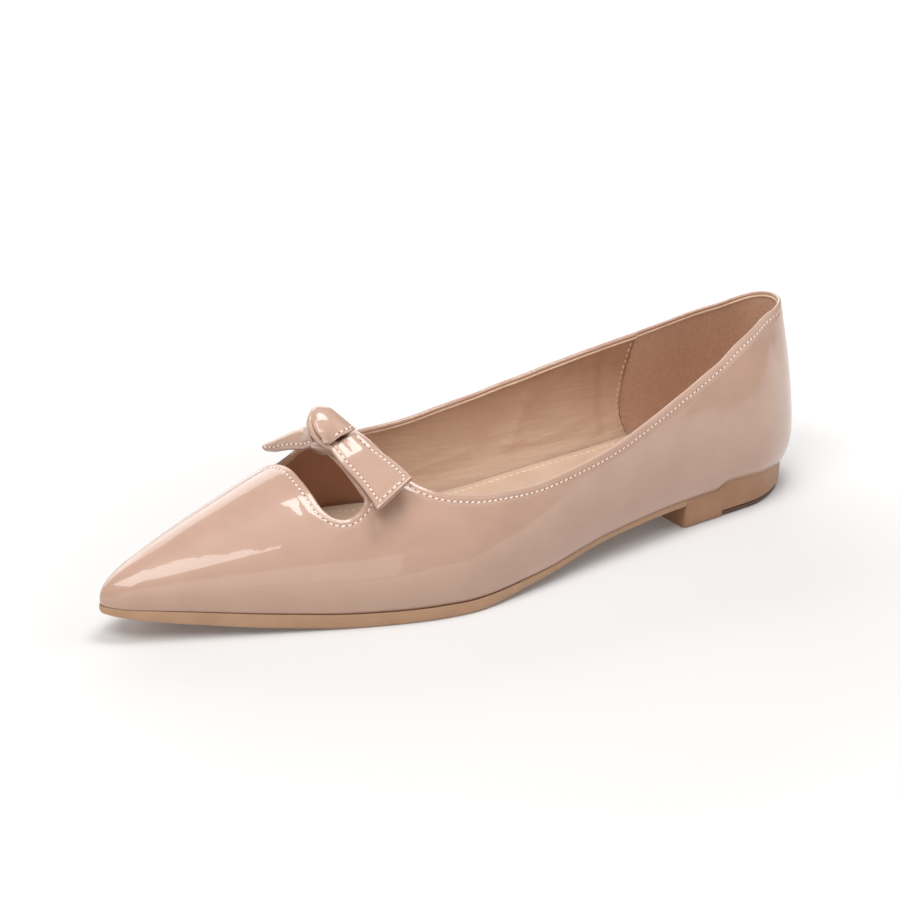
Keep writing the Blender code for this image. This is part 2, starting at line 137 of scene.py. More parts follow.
TOPLINE = (
    (-0.020, 1.005, 0.985),
    (0.000, 0.998, 0.974),
    (0.023, 0.995, 0.930),
    (0.050, 0.980, 0.890),
    (0.093, 0.932, 0.850),
    (0.128, 0.882, 0.826),
    (0.168, 0.808, 0.802),
    (0.206, 0.756, 0.780),
    (0.244, 0.710, 0.757),
    (0.281, 0.667, 0.732),
    (0.317, 0.630, 0.705),
    (0.351, 0.598, 0.677),
    (0.386, 0.575, 0.655),
    (0.420, 0.557, 0.632),
    (0.450, 0.543, 0.617),
    (0.481, 0.532, 0.600),
    (0.512, 0.528, 0.576),
    (0.540, 0.531, 0.560),
    (0.567, 0.536, 0.554),
    (0.592, 0.551, 0.556),
    (0.615, 0.570, 0.568),
    (0.633, 0.603, 0.600),
    (0.643, 0.640, 0.636),
    (0.649, 0.690, 0.686),
    (0.651, 0.760, 0.760),
)
# Edge of the cut-out from its front to its rear on the crown line: along, across
CUTOUT = (
    (0.7490, 0.000),
    (0.7500, 0.095),
    (0.7494, 0.180),
    (0.7478, 0.240),
    (0.7415, 0.283),
    (0.7335, 0.308),
    (0.7240, 0.322),
    (0.7130, 0.326),
    (0.7015, 0.319),
    (0.6948, 0.300),
    (0.6955, 0.265),
    (0.6968, 0.200),
    (0.6972, 0.100),
    (0.6972, 0.000),
)
CUTOUT_INNER = 0.92
HOLE_FRONT = CUTOUT[0][0]
HOLE_REAR = CUTOUT[-1][0]
STRAP_REAR = TOPLINE[-1][0]
INSOLE_COLUMNS = ("along", "seat")
INSOLE_TOP = (
    (0.000, 0.820),
    (0.080, 0.940),
    (0.160, 1.000),
    (0.240, 0.900),
    (0.363, 0.735),
    (0.496, 0.433),
    (0.592, 0.336),
    (0.725, 0.367),
    (0.821, 0.525),
    (0.916, 0.755),
    (1.000, 0.958),
)

# Outer tail: place down the side, front and back edge as shares of the length, lift in metres
TAIL_COLUMNS = ("down", "front", "back", "lift")
TAIL = (
    (0.000, 0.6950, 0.658, 0.0007),
    (0.150, 0.6945, 0.655, 0.0007),
    (0.350, 0.6930, 0.651, 0.0008),
    (0.550, 0.6910, 0.647, 0.0010),
    (0.750, 0.6890, 0.643, 0.0014),
    (1.000, 0.6870, 0.639, 0.0020),
)
# Where it starts and where its front and back corners end, as places t on the side wall
TAIL_TOP = 0.905
TAIL_LOW = (0.520, 0.600)

# Steps by which slopes of the surface are measured, along s and along t
SLOPE_STEP = 0.0005
S_STEP = 0.0003
T_STEP = 0.0015


# ------------------------------------------------ surface of the shoe, as in the part's source
def smooth(xs, ys, x):
    """Monotone cubic through the rows of a table."""
    step = np.diff(xs)
    rate = np.diff(ys) / step
    slope = np.zeros(len(xs))
    for i in range(1, len(xs) - 1):
        if rate[i - 1] * rate[i] > 0.0:
            w1 = 2.0 * step[i] + step[i - 1]
            w2 = step[i] + 2.0 * step[i - 1]
            slope[i] = (w1 + w2) / (w1 / rate[i - 1] + w2 / rate[i])
    slope[0] = rate[0]
    slope[-1] = rate[-1]
    x = np.clip(np.asarray(x, float), xs[0], xs[-1])
    k = np.clip(np.searchsorted(xs, x, side="right") - 1, 0, len(step) - 1)
    t = (x - xs[k]) / step[k]
    first = (1.0 + 2.0 * t) * (1.0 - t) ** 2 * ys[k] + t * (1.0 - t) ** 2 * step[k] * slope[k]
    second = t * t * (3.0 - 2.0 * t) * ys[k + 1] + t * t * (t - 1.0) * step[k] * slope[k + 1]
    return first + second


def reader(table, names):
    """Reads a table's columns by name at any place along it."""
    rows = np.array(table)
    return lambda name, x: smooth(rows[:, 0], rows[:, names.index(name)], x)


read_plan = reader(PLAN, PLAN_COLUMNS)
read_wall = reader(WALLS, WALL_COLUMNS)
read_sole = reader(SOLE, SOLE_COLUMNS)
read_ridge = reader(RIDGE, RIDGE_COLUMNS)
read_topline = reader(TOPLINE, TOPLINE_COLUMNS)
read_insole = reader(INSOLE_TOP, INSOLE_COLUMNS)
read_tail = reader(TAIL, TAIL_COLUMNS)


def wall(name, s):
    return read_wall(name, np.asarray(s) / LENGTH)


def sole(name, s):
    unit_size = BALL_WIDTH if name == "welt" else HEEL_HEIGHT
    return unit_size * read_sole(name, np.asarray(s) / LENGTH)


def ridge(s):
    return INSTEP * read_ridge("crown", np.asarray(s) / LENGTH)


def half_width(side, s):
    s = np.asarray(s, float)
    back = np.clip(1.0 - s / HEEL_ROUND, 0.0, 1.0)
    front = np.clip(1.0 - (LENGTH - s) / TOE_ROUND, 0.0, 1.0)
    ends = np.sqrt(1.0 - back * back) * np.sqrt(1.0 - front * front)
    return BALL_WIDTH * read_plan("outer" if side == OUTER else "inner", s / LENGTH) * ends


def section_frame(side, s):
    s = np.asarray(s, float)
    heel = HEEL_PULL * np.clip(1.0 - s / HEEL_FAN, 0.0, 1.0) ** 2
    toe = TOE_PULL * np.clip((s - TOE_FAN) / (LENGTH - TOE_FAN), 0.0, 1.0) ** 2
    origin = s + heel - toe
    reach_x = s - origin
    reach_y = half_width(side, s)
    reach = np.hypot(reach_x, reach_y)
    return origin, reach, reach_x / reach, reach_y / reach


def place(side, origin, dir_x, dir_y, r, z):
    x = LENGTH / 2.0 - origin - dir_x * r
    return np.stack(np.broadcast_arrays(x, side * dir_y * r, z), -1)


def shell(side, s, t):
    """Point on the outside of the upper: t is 0 at the sole and 1 on the crown line."""
    s, t = np.broadcast_arrays(np.asarray(s, float), np.asarray(t, float))
    origin, reach, dir_x, dir_y = section_frame(side, s)
    seat = sole("seat", s)
    rise = ridge(origin) - seat
    belly = BALL_WIDTH * wall("belly", s)
    shoulder = wall("shoulder", s)
    fall = (ridge(origin - SLOPE_STEP) - ridge(origin + SLOPE_STEP)) / (2.0 * SLOPE_STEP)
    ease = np.clip((s - TOE_FAN) / TOE_EASE, 0.0, 1.0)
    drop = fall * np.clip(dir_x, 0.0, 1.0) * shoulder * reach * ease
    b0 = (1.0 - t) ** 3
    b1 = 3.0 * t * (1.0 - t) ** 2
    b2 = 3.0 * t * t * (1.0 - t)
    b3 = t ** 3
    r = b0 * reach + b1 * (reach + belly) + b2 * shoulder * reach + b3 * wall("lid", s) * reach
    z = seat + rise * (b1 * wall("swell", s) + b2 + b3) - b2 * drop
    low = np.clip(1.0 - (z - seat) / TUCK_RISE, 0.0, 1.0)
    r = r - BALL_WIDTH * wall("tuck", s) * low ** 2
    return place(side, origin, dir_x, dir_y, r, z)


def shifted(s, amount):
    """Move along the outline, by angle where the heel and the toe are rounded."""
    s = np.asarray(s, float)
    turn = np.arccos(np.clip(1.0 - s / HEEL_ROUND, -1.0, 1.0))
    heel = HEEL_ROUND * (1.0 - np.cos(np.clip(turn + amount / HEEL_ROUND, 0.0, QUARTER)))
    back = np.arccos(np.clip(1.0 - (LENGTH - s) / TOE_ROUND, -1.0, 1.0))
    toe = np.cos(np.clip(back - amount / TOE_ROUND, 0.0, QUARTER))
    toe = LENGTH - TOE_ROUND * (1.0 - toe)
    made = np.where(s < HEEL_ROUND * 0.98, heel, s + amount)
    return np.where(s > LENGTH - TOE_ROUND * 0.95, toe, made)


def shell_rates(side, s, t):
    """Rates of the surface along s and along t."""
    up = np.minimum(t + T_STEP, 1.0)
    down = np.maximum(t - T_STEP, 0.0)
    along = shell(side, shifted(s, S_STEP), t) - shell(side, shifted(s, -S_STEP), t)
    rise = (shell(side, s, up) - shell(side, s, down)) / (up - down)[..., None]
    return along / (2.0 * S_STEP), rise


def unit(v):
    return v / np.maximum(np.linalg.norm(v, axis=-1, keepdims=True), 1e-12)


def shell_normal(side, s, t):
    s, t = np.broadcast_arrays(np.asarray(s, float), np.asarray(t, float))
    along, rise = shell_rates(side, s, t)
    normal = side * np.cross(along, rise)
    middle = (s <= 1e-9) | (s >= LENGTH - 1e-9) | ((t >= 1.0 - 1e-9) & (s > 0.1))
    normal[..., 1] = np.where(middle, 0.0, normal[..., 1])
    return unit(normal)


def on_shell(side, st):
    return shell(side, st[..., 0], st[..., 1])


def hump(x, middle, width):
    return np.exp(-((x - middle) / width) ** 2)


# ------------------------------------------------ lines
def lengths(points, axis=0):
    """Distance along a polyline, or along each line of a net, at each of its points."""
    steps = np.linalg.norm(np.diff(points, axis=axis), axis=-1)
    return np.insert(np.cumsum(steps, axis=axis), 0, 0.0, axis=axis)


def between(x, xs, values):
    """Each column of values at places x along xs."""
    return np.stack([np.interp(x, xs, row) for row in np.asarray(values, float).T], -1)


def even(values, points, count):
    """Resample values to even steps along the polyline that they belong to."""
    far = lengths(points)
    return between(np.linspace(0.0, far[-1], count), far, values)


def even_on_shell(side, path, count):
    """Resample a path in (s, t) evenly by its length on the shoe."""
    return even(path, on_shell(side, path), count)


def spline(points, count):
    """Catmull-Rom through points at even steps of its parameter."""
    p = np.asarray(points, float)
    p = np.vstack([2.0 * p[0] - p[1], p, 2.0 * p[-1] - p[-2]])
    x = np.linspace(0.0, len(p) - 3.0, count)
    k = np.minimum(x.astype(int), len(p) - 4)
    x = (x - k)[:, None]
    a, b, c, d = p[k], p[k + 1], p[k + 2], p[k + 3]
    square = 2.0 * a - 5.0 * b + 4.0 * c - d
    return 0.5 * (2.0 * b + (c - a) * x + square * x * x + (3.0 * b - a - 3.0 * c + d) * x ** 3)


def round_curve(points, count):
    """Catmull-Rom through points, resampled evenly."""
    line = spline(points, 24 * (len(points) - 1) + 1)
    return even(line, line, count)


def quarter(count):
    """Quarter round: how far it still is from its side and from its top, from the top outwards."""
    turn = np.linspace(0.0, QUARTER, count)
    return list(zip(1.0 - np.sin(turn), 1.0 - np.cos(turn)))


def heel_stations():
    return HEEL_ROUND * (1.0 - np.cos(np.linspace(0.0, QUARTER, 34)))


def toe_stations(count):
    return LENGTH - TOE_ROUND * (1.0 - np.cos(np.linspace(QUARTER, 0.0, count)))


# ------------------------------------------------ meshes
MERGE = 2e-6


def grid_quads(rows, columns, wrap):
    across = np.arange(columns if wrap else columns - 1)
    i, j = np.meshgrid(np.arange(rows - 1) * columns, across, indexing="ij")
    j2 = (j + 1) % columns
    return np.stack([i + j, i + columns + j, i + columns + j2, i + j2], -1).reshape(-1, 4)


class Pile:
    """Collects grids of points, and makes one piece of them."""

    def __init__(self):
        self.points = []
        self.faces = []
        self.marks = []
        self.count = 0

    def add(self, points, faces, mark=0):
        points = np.asarray(points, float).reshape(-1, 3)
        self.points.append(points)
        self.faces.extend(tuple(int(v) + self.count for v in face) for face in faces)
        self.marks.extend(int(m) for m in (mark if np.ndim(mark) else [mark] * len(faces)))
        self.count += len(points)

    def grid(self, points, mark=0, wrap=False):
        rows, columns = np.shape(points)[:2]
        self.add(points, grid_quads(rows, columns, wrap), mark)

    def cap(self, ends):
        """Close the front end of two halves that meet in the middle."""
        outline = np.vstack([ends[0], ends[1][::-1][1:-1]])
        self.add(outline, [tuple(range(len(outline)))])

    def piece(self, name, looks, slot, nodes=(), flat=None):
        data = bpy.data.meshes.new(name)
        points = np.concatenate(self.points) - BOX_MIDDLE
        data.from_pydata([tuple(p) for p in points], [], self.faces)
        data.polygons.foreach_set("material_index", self.marks)
        mesh = bmesh.new()
        mesh.from_mesh(data)
        bmesh.ops.remove_doubles(mesh, verts=mesh.verts, dist=MERGE)
        bmesh.ops.dissolve_degenerate(mesh, edges=mesh.edges, dist=MERGE)
        bmesh.ops.recalc_face_normals(mesh, faces=mesh.faces)
        for face in mesh.faces:
            face.smooth = True
        if flat:
            for edge in mesh.edges:
                if edge.is_manifold and edge.calc_face_angle(0.0) > flat:
                    edge.smooth = False
        mesh.to_mesh(data)
        mesh.free()
        made = bpy.data.objects.new(name, data)
        bpy.context.scene.collection.objects.link(made)
        for surface in looks:
            data.materials.append(surface)
        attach(made, "root")
        for node in nodes:
            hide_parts(node)


# ------------------------------------------------ materials
def linear(red, green, blue):
    made = []
    for value in (red, green, blue):
        share = value / 255.0
        made.append(share / 12.92 if share <= 0.04045 else ((share + 0.055) / 1.055) ** 2.4)
    return (*made, 1.0)


def put_node(tree, kind, values, links):
    """New shader node with values and links on its inputs."""
    made = tree.nodes.new("ShaderNode" + kind)
    for socket, value in values.items():
        made.inputs[socket].default_value = value
    for socket, source in links.items():
        tree.links.new(source, made.inputs[socket])
    return made


def map_range(tree, source, *limits):
    values = dict(zip(("From Min", "From Max", "To Min", "To Max"), limits))
    return put_node(tree, "MapRange", values, {"Value": source})


def noise(tree, spot, scale, detail, stretch=None):
    if stretch is not None:
        spot = put_node(tree, "Mapping", {"Scale": stretch}, {"Vector": spot}).outputs["Vector"]
    values = {"Scale": scale, "Detail": detail, "Roughness": 0.5}
    return put_node(tree, "TexNoise", values, {"Vector": spot}).outputs["Fac"]


# Part of the noise that is spread over the tones, and how the height of the painted shade and the
# noise share them
NOISE_ENDS = (0.3, 0.7)
PAINTED_SHADE_REACH = 0.25
PAINTED_SHADE_NOISE = (0.38, 0.62)


def look(name, dark, light, blotch, rough, bumps=(), painted_shade_heights=None, **sockets):
    """Principled surface: two tones mixed by noise, and by height if asked as painted shade that
    goes darker higher up, with uneven roughness and fine relief; bumps give scale, depth and
    stretch."""
    made = bpy.data.materials.new(name)
    made.use_nodes = True
    tree = made.node_tree
    surface = tree.nodes["Principled BSDF"]
    spot = tree.nodes.new("ShaderNodeTexCoord").outputs["Object"]
    share = noise(tree, spot, blotch, 5.0)
    # Painted shade: the tone goes darker with height
    if painted_shade_heights is not None:
        height = put_node(tree, "SeparateXYZ", {}, {"Vector": spot}).outputs["Z"]
        slope = map_range(tree, height, *painted_shade_heights, PAINTED_SHADE_REACH, -PAINTED_SHADE_REACH).outputs["Result"]
        calm = map_range(tree, share, 0.0, 1.0, *PAINTED_SHADE_NOISE).outputs["Result"]
        share = put_node(tree, "Math", {}, {0: slope, 1: calm}).outputs["Value"]
    tones = put_node(tree, "ValToRGB", {}, {"Fac": share})
    for number, tone in enumerate((dark, light)):
        tones.color_ramp.elements[number].position = NOISE_ENDS[number]
        tones.color_ramp.elements[number].color = linear(*tone)
    tree.links.new(tones.outputs["Color"], surface.inputs["Base Color"])
    uneven = map_range(tree, noise(tree, spot, blotch * 2.3, 4.0), *NOISE_ENDS, *rough)
    tree.links.new(uneven.outputs["Result"], surface.inputs["Roughness"])
    relief = {}
    for scale, depth, stretch in bumps:
        relief["Height"] = noise(tree, spot, scale, 3.0, stretch)
        bump = put_node(tree, "Bump", {"Strength": 1.0, "Distance": depth}, relief)
        relief["Normal"] = bump.outputs["Normal"]
    if relief:
        tree.links.new(relief["Normal"], surface.inputs["Normal"])
        if sockets.get("Coat Weight"):
            tree.links.new(relief["Normal"], surface.inputs["Coat Normal"])
    for socket, value in sockets.items():
        surface.inputs[socket].default_value = value
    return made


def thread_look(name, dark, light):
    return look(name, dark, light, 1500.0, (0.55, 0.7), ((2500.0, 0.00005, None),))


SPECULAR = "Specular IOR Level"
FINE_GRAIN = (900.0, 0.000003, None)
SOLE_GRAIN = ((700.0, 0.00002, None), (110.0, 0.00006, None))
GLOSS = {"Coat Weight": 0.8, "Coat IOR": 1.5, SPECULAR: 0.3}
patent = look("patent", (184, 149, 130), (190, 155, 136), 90.0, (0.30, 0.38),
              ((70.0, 0.00013, None), FINE_GRAIN), **GLOSS, **{"Coat Roughness": 0.035})
bow_patent = look("bow_patent", (187, 153, 134), (193, 160, 141), 120.0, (0.30, 0.38),
                  ((160.0, 0.00012, None), FINE_GRAIN), **GLOSS, **{"Coat Roughness": 0.04})
cut_edge = look("cut_edge", (222, 186, 156), (236, 206, 178), 300.0, (0.5, 0.65),
                ((1500.0, 0.00004, None),))
# Lining: painted shade makes it darker towards its top edge and paler towards the insole
lining = look("lining", (186, 144, 118), (227, 199, 175), 60.0, (0.42, 0.55),
              ((320.0, 0.00038, (0.28, 0.6, 1.4)), (1400.0, 0.00003, None)),
              painted_shade_heights=(0.019, 0.047), **{SPECULAR: 0.35})
# Darker lining tone of painted shade: the shadow inside the toe under the strap, and dark lines of
# shade at the open edges and at the heel's seam
painted_lining_shade = look("painted_lining_shade", (164, 117, 91), (178, 130, 103), 60.0, (0.45, 0.6),
                  ((260.0, 0.00010, (0.22, 0.6, 1.4)), (1400.0, 0.00002, None)),
                  **{SPECULAR: 0.3})
suede = look("heel_suede", (198, 158, 131), (212, 172, 145), 900.0, (0.85, 0.98),
             ((1800.0, 0.00010, None),),
             **{"Sheen Weight": 0.35, "Sheen Roughness": 0.5, SPECULAR: 0.15})
sock = look("insole_beige", (195, 169, 147), (207, 182, 161), 80.0, (0.5, 0.62),
            ((420.0, 0.00005, None), (1500.0, 0.00002, None)), **{SPECULAR: 0.3})
thread = thread_look("thread", (232, 208, 198), (246, 230, 222))
pale_thread = thread_look("insole_thread", (226, 196, 164), (240, 216, 188))
lining_thread = thread_look("lining_thread", (222, 190, 166), (236, 208, 184))
# Dark brown of painted shade: the needle holes, and lines of shadow inside the open edges
dark_painted_shade = look("dark_painted_shade", (84, 48, 38), (104, 62, 48), 900.0, (0.7, 0.8))
tan = look("sole_tan", (172, 134, 104), (182, 144, 113), 140.0, (0.38, 0.5), SOLE_GRAIN,
           **{SPECULAR: 0.4})
block_tan = look("heel_block", (160, 118, 88), (170, 128, 97), 120.0, (0.40, 0.52), SOLE_GRAIN,
                 **{SPECULAR: 0.4})
tip_dark = look("heel_tip_dark", (88, 62, 46), (104, 75, 57), 260.0, (0.5, 0.65),
                ((900.0, 0.00004, None),))

# ------------------------------------------------ upper: edges of the throat and the cut-out
STITCH_INSET = 0.0017
EDGE_STEPS = 0.001 * np.array((0.0, 0.3, 0.6, 0.9, 1.2, 1.5, 1.8, 2.05, 2.3, 2.55, 2.8, 3.15,
                               3.7, 4.5, 5.6, 7.0))
LOWER_ROWS = 20
UPPER_ROWS = 34
LOWER_PATCHES = 4
# Half of the width over which the top edge changes from its outer to its inner height
TOPLINE_HALF = 0.026
# From where on the throat's front corner is drawn as a curve of its own
FRONT_FROM = 0.567
VAMP_STEP = 0.00118
VAMP_EASE = 0.030
VAMP_LEVEL = 0.56


def topline_height(outer, inner, y):
    return outer + (0.5 + 0.5 * y / TOPLINE_HALF) * (inner - outer)


def throat_t(side, s):
    """Place t where the top edge crosses each section."""
    low = np.full(np.shape(s), 0.02)
    high = np.full(np.shape(s), 1.0)
    for _ in range(46):
        middle = 0.5 * (low + high)
        p = shell(side, s, middle)
        a = 0.5 - p[..., 0] / LENGTH
        edge = topline_height(read_topline("outer", a), read_topline("inner", a), p[..., 1])
        over = p[..., 2] > COLLAR * edge
        high = np.where(over, middle, high)
        low = np.where(over, low, middle)
    return 0.5 * (low + high)


def cutout_path(side):
    """The cut-out's edge as (s, t), from the crown line at its rear round to its front."""
    width = BALL_WIDTH * (1.0 if side == OUTER else CUTOUT_INNER)
    rows = [(LENGTH * a, width * w) for a, w in reversed(CUTOUT)]
    mirrored = [(rows[1][0], -rows[1][1])] + rows + [(rows[-2][0], -rows[-2][1])]
    line = round_curve(mirrored, 900)
    line = np.vstack([[rows[0]], line[line[:, 1] >= 0.0], [rows[-1]]])
    t = np.linspace(0.0, 1.0, 500)
    path = []
    for s, y in line:
        reach = np.abs(shell(side, s, t)[:, 1])
        best = int(np.argmax(reach))
        path.append((s, float(np.interp(-y, -reach[best:], t[best:]))))
    path[0] = (rows[0][0], 1.0)
    path[-1] = (rows[-1][0], 1.0)
    return np.array(path)


def throat_front(side):
    """The throat's front corner and strap edge as (s, t), up to the crown line."""
    rows = np.array([row for row in TOPLINE if row[0] >= FRONT_FROM])
    t = np.linspace(0.0, 1.0, 400)
    path = []
    for s, outer, inner in round_curve(rows * np.array((LENGTH, COLLAR, COLLAR)), 600):
        p = shell(side, s, t)
        over = p[:, 2] - topline_height(outer, inner, p[:, 1])
        if over[-1] <= 0.0:
            break
        k = int(np.argmax(over > 0.0))
        path.append((s, t[k - 1] - (t[k] - t[k - 1]) * over[k - 1] / (over[k] - over[k - 1])))
    path.append((LENGTH * STRAP_REAR, 1.0))
    return np.array(path)


def corner_of(path, side, first, last, steep):
    """First place, between two shares of a path, where it is steeper than 45 degrees or not."""
    p = on_shell(side, path)
    run = np.abs(np.gradient(p[:, 0]))
    rise = np.linalg.norm(np.gradient(p[:, 1:], axis=0), axis=1)
    for k in range(int(first * len(path)), int(last * len(path))):
        if (rise[k] > run[k]) == steep:
            return k
    return int(last * len(path))


def pairs(s, t):
    return np.stack(np.broadcast_arrays(s, t), -1)


class Half:
    """One side of the upper as patches in (s, t), with the paths of its open edges."""

    def __init__(self, side):
        self.side = side
        front = throat_front(side)
        hole = cutout_path(side)
        k = corner_of(front, side, 0.1, 0.9, True)
        corner = front[k]
        h1 = corner_of(hole, side, 0.2, 0.6, False)
        h2 = corner_of(hole, side, 0.55, 0.95, True)
        rear_low, front_low = hole[h1], hole[h2]
        strap_edge = even_on_shell(side, front[k:], UPPER_ROWS + 1)
        rear_edge = even_on_shell(side, hole[:h1 + 1][::-1], UPPER_ROWS + 1)
        front_edge = even_on_shell(side, hole[h2:], UPPER_ROWS + 1)
        # body behind the corner
        plain = np.linspace(HEEL_ROUND, corner[0], 128)[1:]
        body_s = np.concatenate([heel_stations(), plain])
        body_t = throat_t(side, body_s)
        near = body_s > front[0, 0]
        body_t[near] = np.interp(body_s[near], front[:k + 1, 0], front[:k + 1, 1])
        body_t[-1] = corner[1]
        # below the cut-out
        under = hole[h1:h2 + 1]
        under_s = np.linspace(rear_low[0], front_low[0], 16)
        under_t = np.interp(under_s, under[:, 0], under[:, 1])
        # below the strap
        strap_share = self.spread(LENGTH * (HOLE_REAR - STRAP_REAR), 12)
        strap_s = corner[0] + strap_share * (rear_low[0] - corner[0])
        strap_t = corner[1] + strap_share * (rear_low[1] - corner[1])
        # vamp
        steps = np.concatenate([EDGE_STEPS, [0.0085]])
        front_s = LENGTH * HOLE_FRONT
        plain = np.arange(front_s + 0.0096, LENGTH - TOE_ROUND - 0.0004, VAMP_STEP)
        crown_s = np.concatenate([front_s + steps, plain, toe_stations(12)])
        ease = np.clip((crown_s - crown_s[0]) / VAMP_EASE, 0.0, 1.0)
        ease = 1.0 - ease * ease * (3.0 - 2.0 * ease)
        vamp_s = crown_s - ease * (crown_s[0] - front_low[0])
        level = np.clip((vamp_s - front_low[0]) / 0.05, 0.0, 1.0)
        vamp_t = front_low[1] + level * (VAMP_LEVEL - front_low[1])
        body = self.lower(body_s, body_t)
        under_patch = self.lower(under_s, under_t)
        left = body[-1, :, 1] / body[-1, -1, 1]
        right = under_patch[0, :, 1] / under_patch[0, -1, 1]
        share = left + strap_share[:, None] * (right - left)
        strap_low = pairs(strap_s[:, None], share * strap_t[:, None])
        share = under_patch[-1, :, 1] / under_patch[-1, -1, 1]
        share = share + level[:, None] * (np.linspace(0.0, 1.0, len(share)) - share)
        vamp_low = pairs(vamp_s[:, None], share * vamp_t[:, None])
        ridge_s = LENGTH * (STRAP_REAR + strap_share * (HOLE_REAR - STRAP_REAR))
        strap_high = self.upper(strap_low[:, -1], ridge_s, strap_edge, rear_edge, strap_share)
        vamp_high = self.upper(vamp_low[:, -1], crown_s, front_edge, None, 1.0 - ease)
        self.patches = [body, strap_low, under_patch, vamp_low, strap_high, vamp_high]
        self.throat = np.vstack([pairs(body_s, body_t), strap_edge[1:]])
        under = pairs(under_s, under_t)
        self.hole = np.vstack([rear_edge[::-1], under[1:], front_edge[1:]])

    @staticmethod
    def spread(width, middle):
        """Shares across a strip, close together near both of its edges."""
        steps = EDGE_STEPS[EDGE_STEPS < 0.4 * width]
        inside = np.linspace(steps[-1], width - steps[-1], middle)[1:-1]
        return np.concatenate([steps, inside, (width - steps)[::-1]]) / width

    def lower(self, s, top):
        """Columns from the sole up to given places t, close together at the top."""
        t = np.linspace(0.0, 1.0, 160)
        rows = []
        for place_s, high in zip(s, top):
            far = lengths(shell(self.side, place_s, t * high))
            plain = np.linspace(0.0, far[-1] - EDGE_STEPS[-1], LOWER_ROWS, endpoint=False)
            at = np.concatenate([plain, (far[-1] - EDGE_STEPS)[::-1]])
            rows.append(np.interp(at, far, t * high))
        rows = np.array(rows)
        rows[:, 0] = 0.0
        rows[:, -1] = top
        return pairs(s[:, None], rows)

    def upper(self, base, crown_s, left, right, share):
        """Patch from a row of points up to the crown line, following the edges at its ends."""
        w = np.linspace(0.0, 1.0, UPPER_ROWS + 1)
        crown = np.stack([crown_s, np.ones(len(crown_s))], -1)
        plain = base[:, None] + w[None, :, None] * (crown - base)[:, None]
        made = plain + (1.0 - share)[:, None, None] * (left - plain[0])[None]
        if right is not None:
            made = made + share[:, None, None] * (right - plain[-1])[None]
        made[:, -1, 1] = 1.0
        return made


halves = {side: Half(side) for side in SIDES}

# Open edges as points, for distances
edge_points = []
for side, half in halves.items():
    for path in (half.throat, half.hole):
        edge_points.extend(on_shell(side, even_on_shell(side, path, 500)))
edge_tree = KDTree(len(edge_points))
for number, point in enumerate(edge_points):
    edge_tree.insert(point, number)
edge_tree.balance()


def edge_distance(points):
    flat = points.reshape(-1, 3)
    return np.array([edge_tree.find(p)[2] for p in flat]).reshape(points.shape[:-1])


# Soft creases of the outside: side, s, t at either end, width and depth in metres
CREASES = (
    (OUTER, 0.112, 0.10, 0.108, 0.48, 0.0060, 0.00022),
    (OUTER, 0.150, 0.14, 0.157, 0.46, 0.0050, 0.00026),
    (OUTER, 0.166, 0.22, 0.174, 0.50, 0.0045, -0.00020),
    (INNER, 0.116, 0.10, 0.110, 0.48, 0.0060, 0.00022),
    (INNER, 0.152, 0.14, 0.158, 0.46, 0.0050, 0.00024),
)

# Wrinkles of the lining, in the same way
LINING_CREASES = (
    (INNER, 0.0600, 0.42, 0.0560, 0.08, 0.0022, 0.00060),
    (INNER, 0.0640, 0.40, 0.0600, 0.10, 0.0030, -0.00040),
    (INNER, 0.0760, 0.39, 0.0900, 0.30, 0.0026, -0.00060),
    (INNER, 0.0900, 0.30, 0.0940, 0.13, 0.0026, -0.00060),
    (INNER, 0.0800, 0.37, 0.0935, 0.27, 0.0020, 0.00035),
    (INNER, 0.1000, 0.13, 0.1400, 0.12, 0.0016, 0.00045),
    (INNER, 0.0880, 0.10, 0.1250, 0.09, 0.0013, 0.00040),
    (INNER, 0.0760, 0.14, 0.1080, 0.16, 0.0012, 0.00030),
    (INNER, 0.1050, 0.19, 0.1380, 0.18, 0.0012, 0.00030),
    (INNER, 0.0660, 0.09, 0.0900, 0.07, 0.0012, 0.00035),
    (OUTER, 0.0600, 0.42, 0.0560, 0.08, 0.0022, 0.00040),
    (OUTER, 0.1000, 0.13, 0.1400, 0.12, 0.0018, 0.00030),
)

# Seam of the heel's suede, and slanting edge where the lining's painted shade towards the toe
# begins
SEAM_T = (0.0, 0.07, 0.14, 0.20, 0.31, 0.41, 0.48, 1.0)
SEAM_S = (0.0468, 0.0478, 0.0496, 0.0502, 0.0496, 0.0484, 0.0479, 0.0476)
TOE_SHADE_EDGE_T = (0.0, 0.118, 0.265, 0.412, 0.509, 0.705, 1.0)
TOE_SHADE_EDGE_S = (0.1349, 0.1415, 0.1496, 0.1573, 0.1615, 0.1670, 0.1770)
# Relief along the open edges, fold, stitch groove and band: rise, distance from the edge, width
EDGE_RELIEF = (
    (0.00020, 0.0011, 0.0008),
    (-0.00020, STITCH_INSET, 0.00042),
    (0.00010, 0.0034, 0.0007),
)
# How far the vamp is drawn in at the cut-out's front edge, over what distance from the edge, and
# from how far behind it on
LIP_DRAW = 0.00030
LIP_REACH = 0.0050
LIP_BEHIND = 0.0055
LIP_EASE = 0.0040
# How much thinner the wall is at the heel's suede, and over what length that changes
SUEDE_STEP = 0.00045
SUEDE_EASE = 0.0004
# Distances from an open edge where its inner rim starts, is highest and ends, and its height
INNER_RIM = (0.0003, 0.0009, 0.0012)
INNER_RIM_RISE = 0.0005
# Rounded rim of the open edges, and how many of its turns are patent leather at the cut-out
RIM_TURNS = 7
RIM_BULGE = 0.00065
HOLE_FOLD = 3


def crease_depth(side, points, table):
    total = np.zeros(points.shape[:-1])
    share = np.linspace(0.0, 1.0, 30)
    for on, s0, t0, s1, t1, width, depth in table:
        if on == side:
            line = shell(side, s0 + share * (s1 - s0), t0 + share * (t1 - t0))
            near = np.linalg.norm(points[..., None, :] - line, axis=-1).min(-1)
            total += depth * hump(near, 0.0, width)
    return total


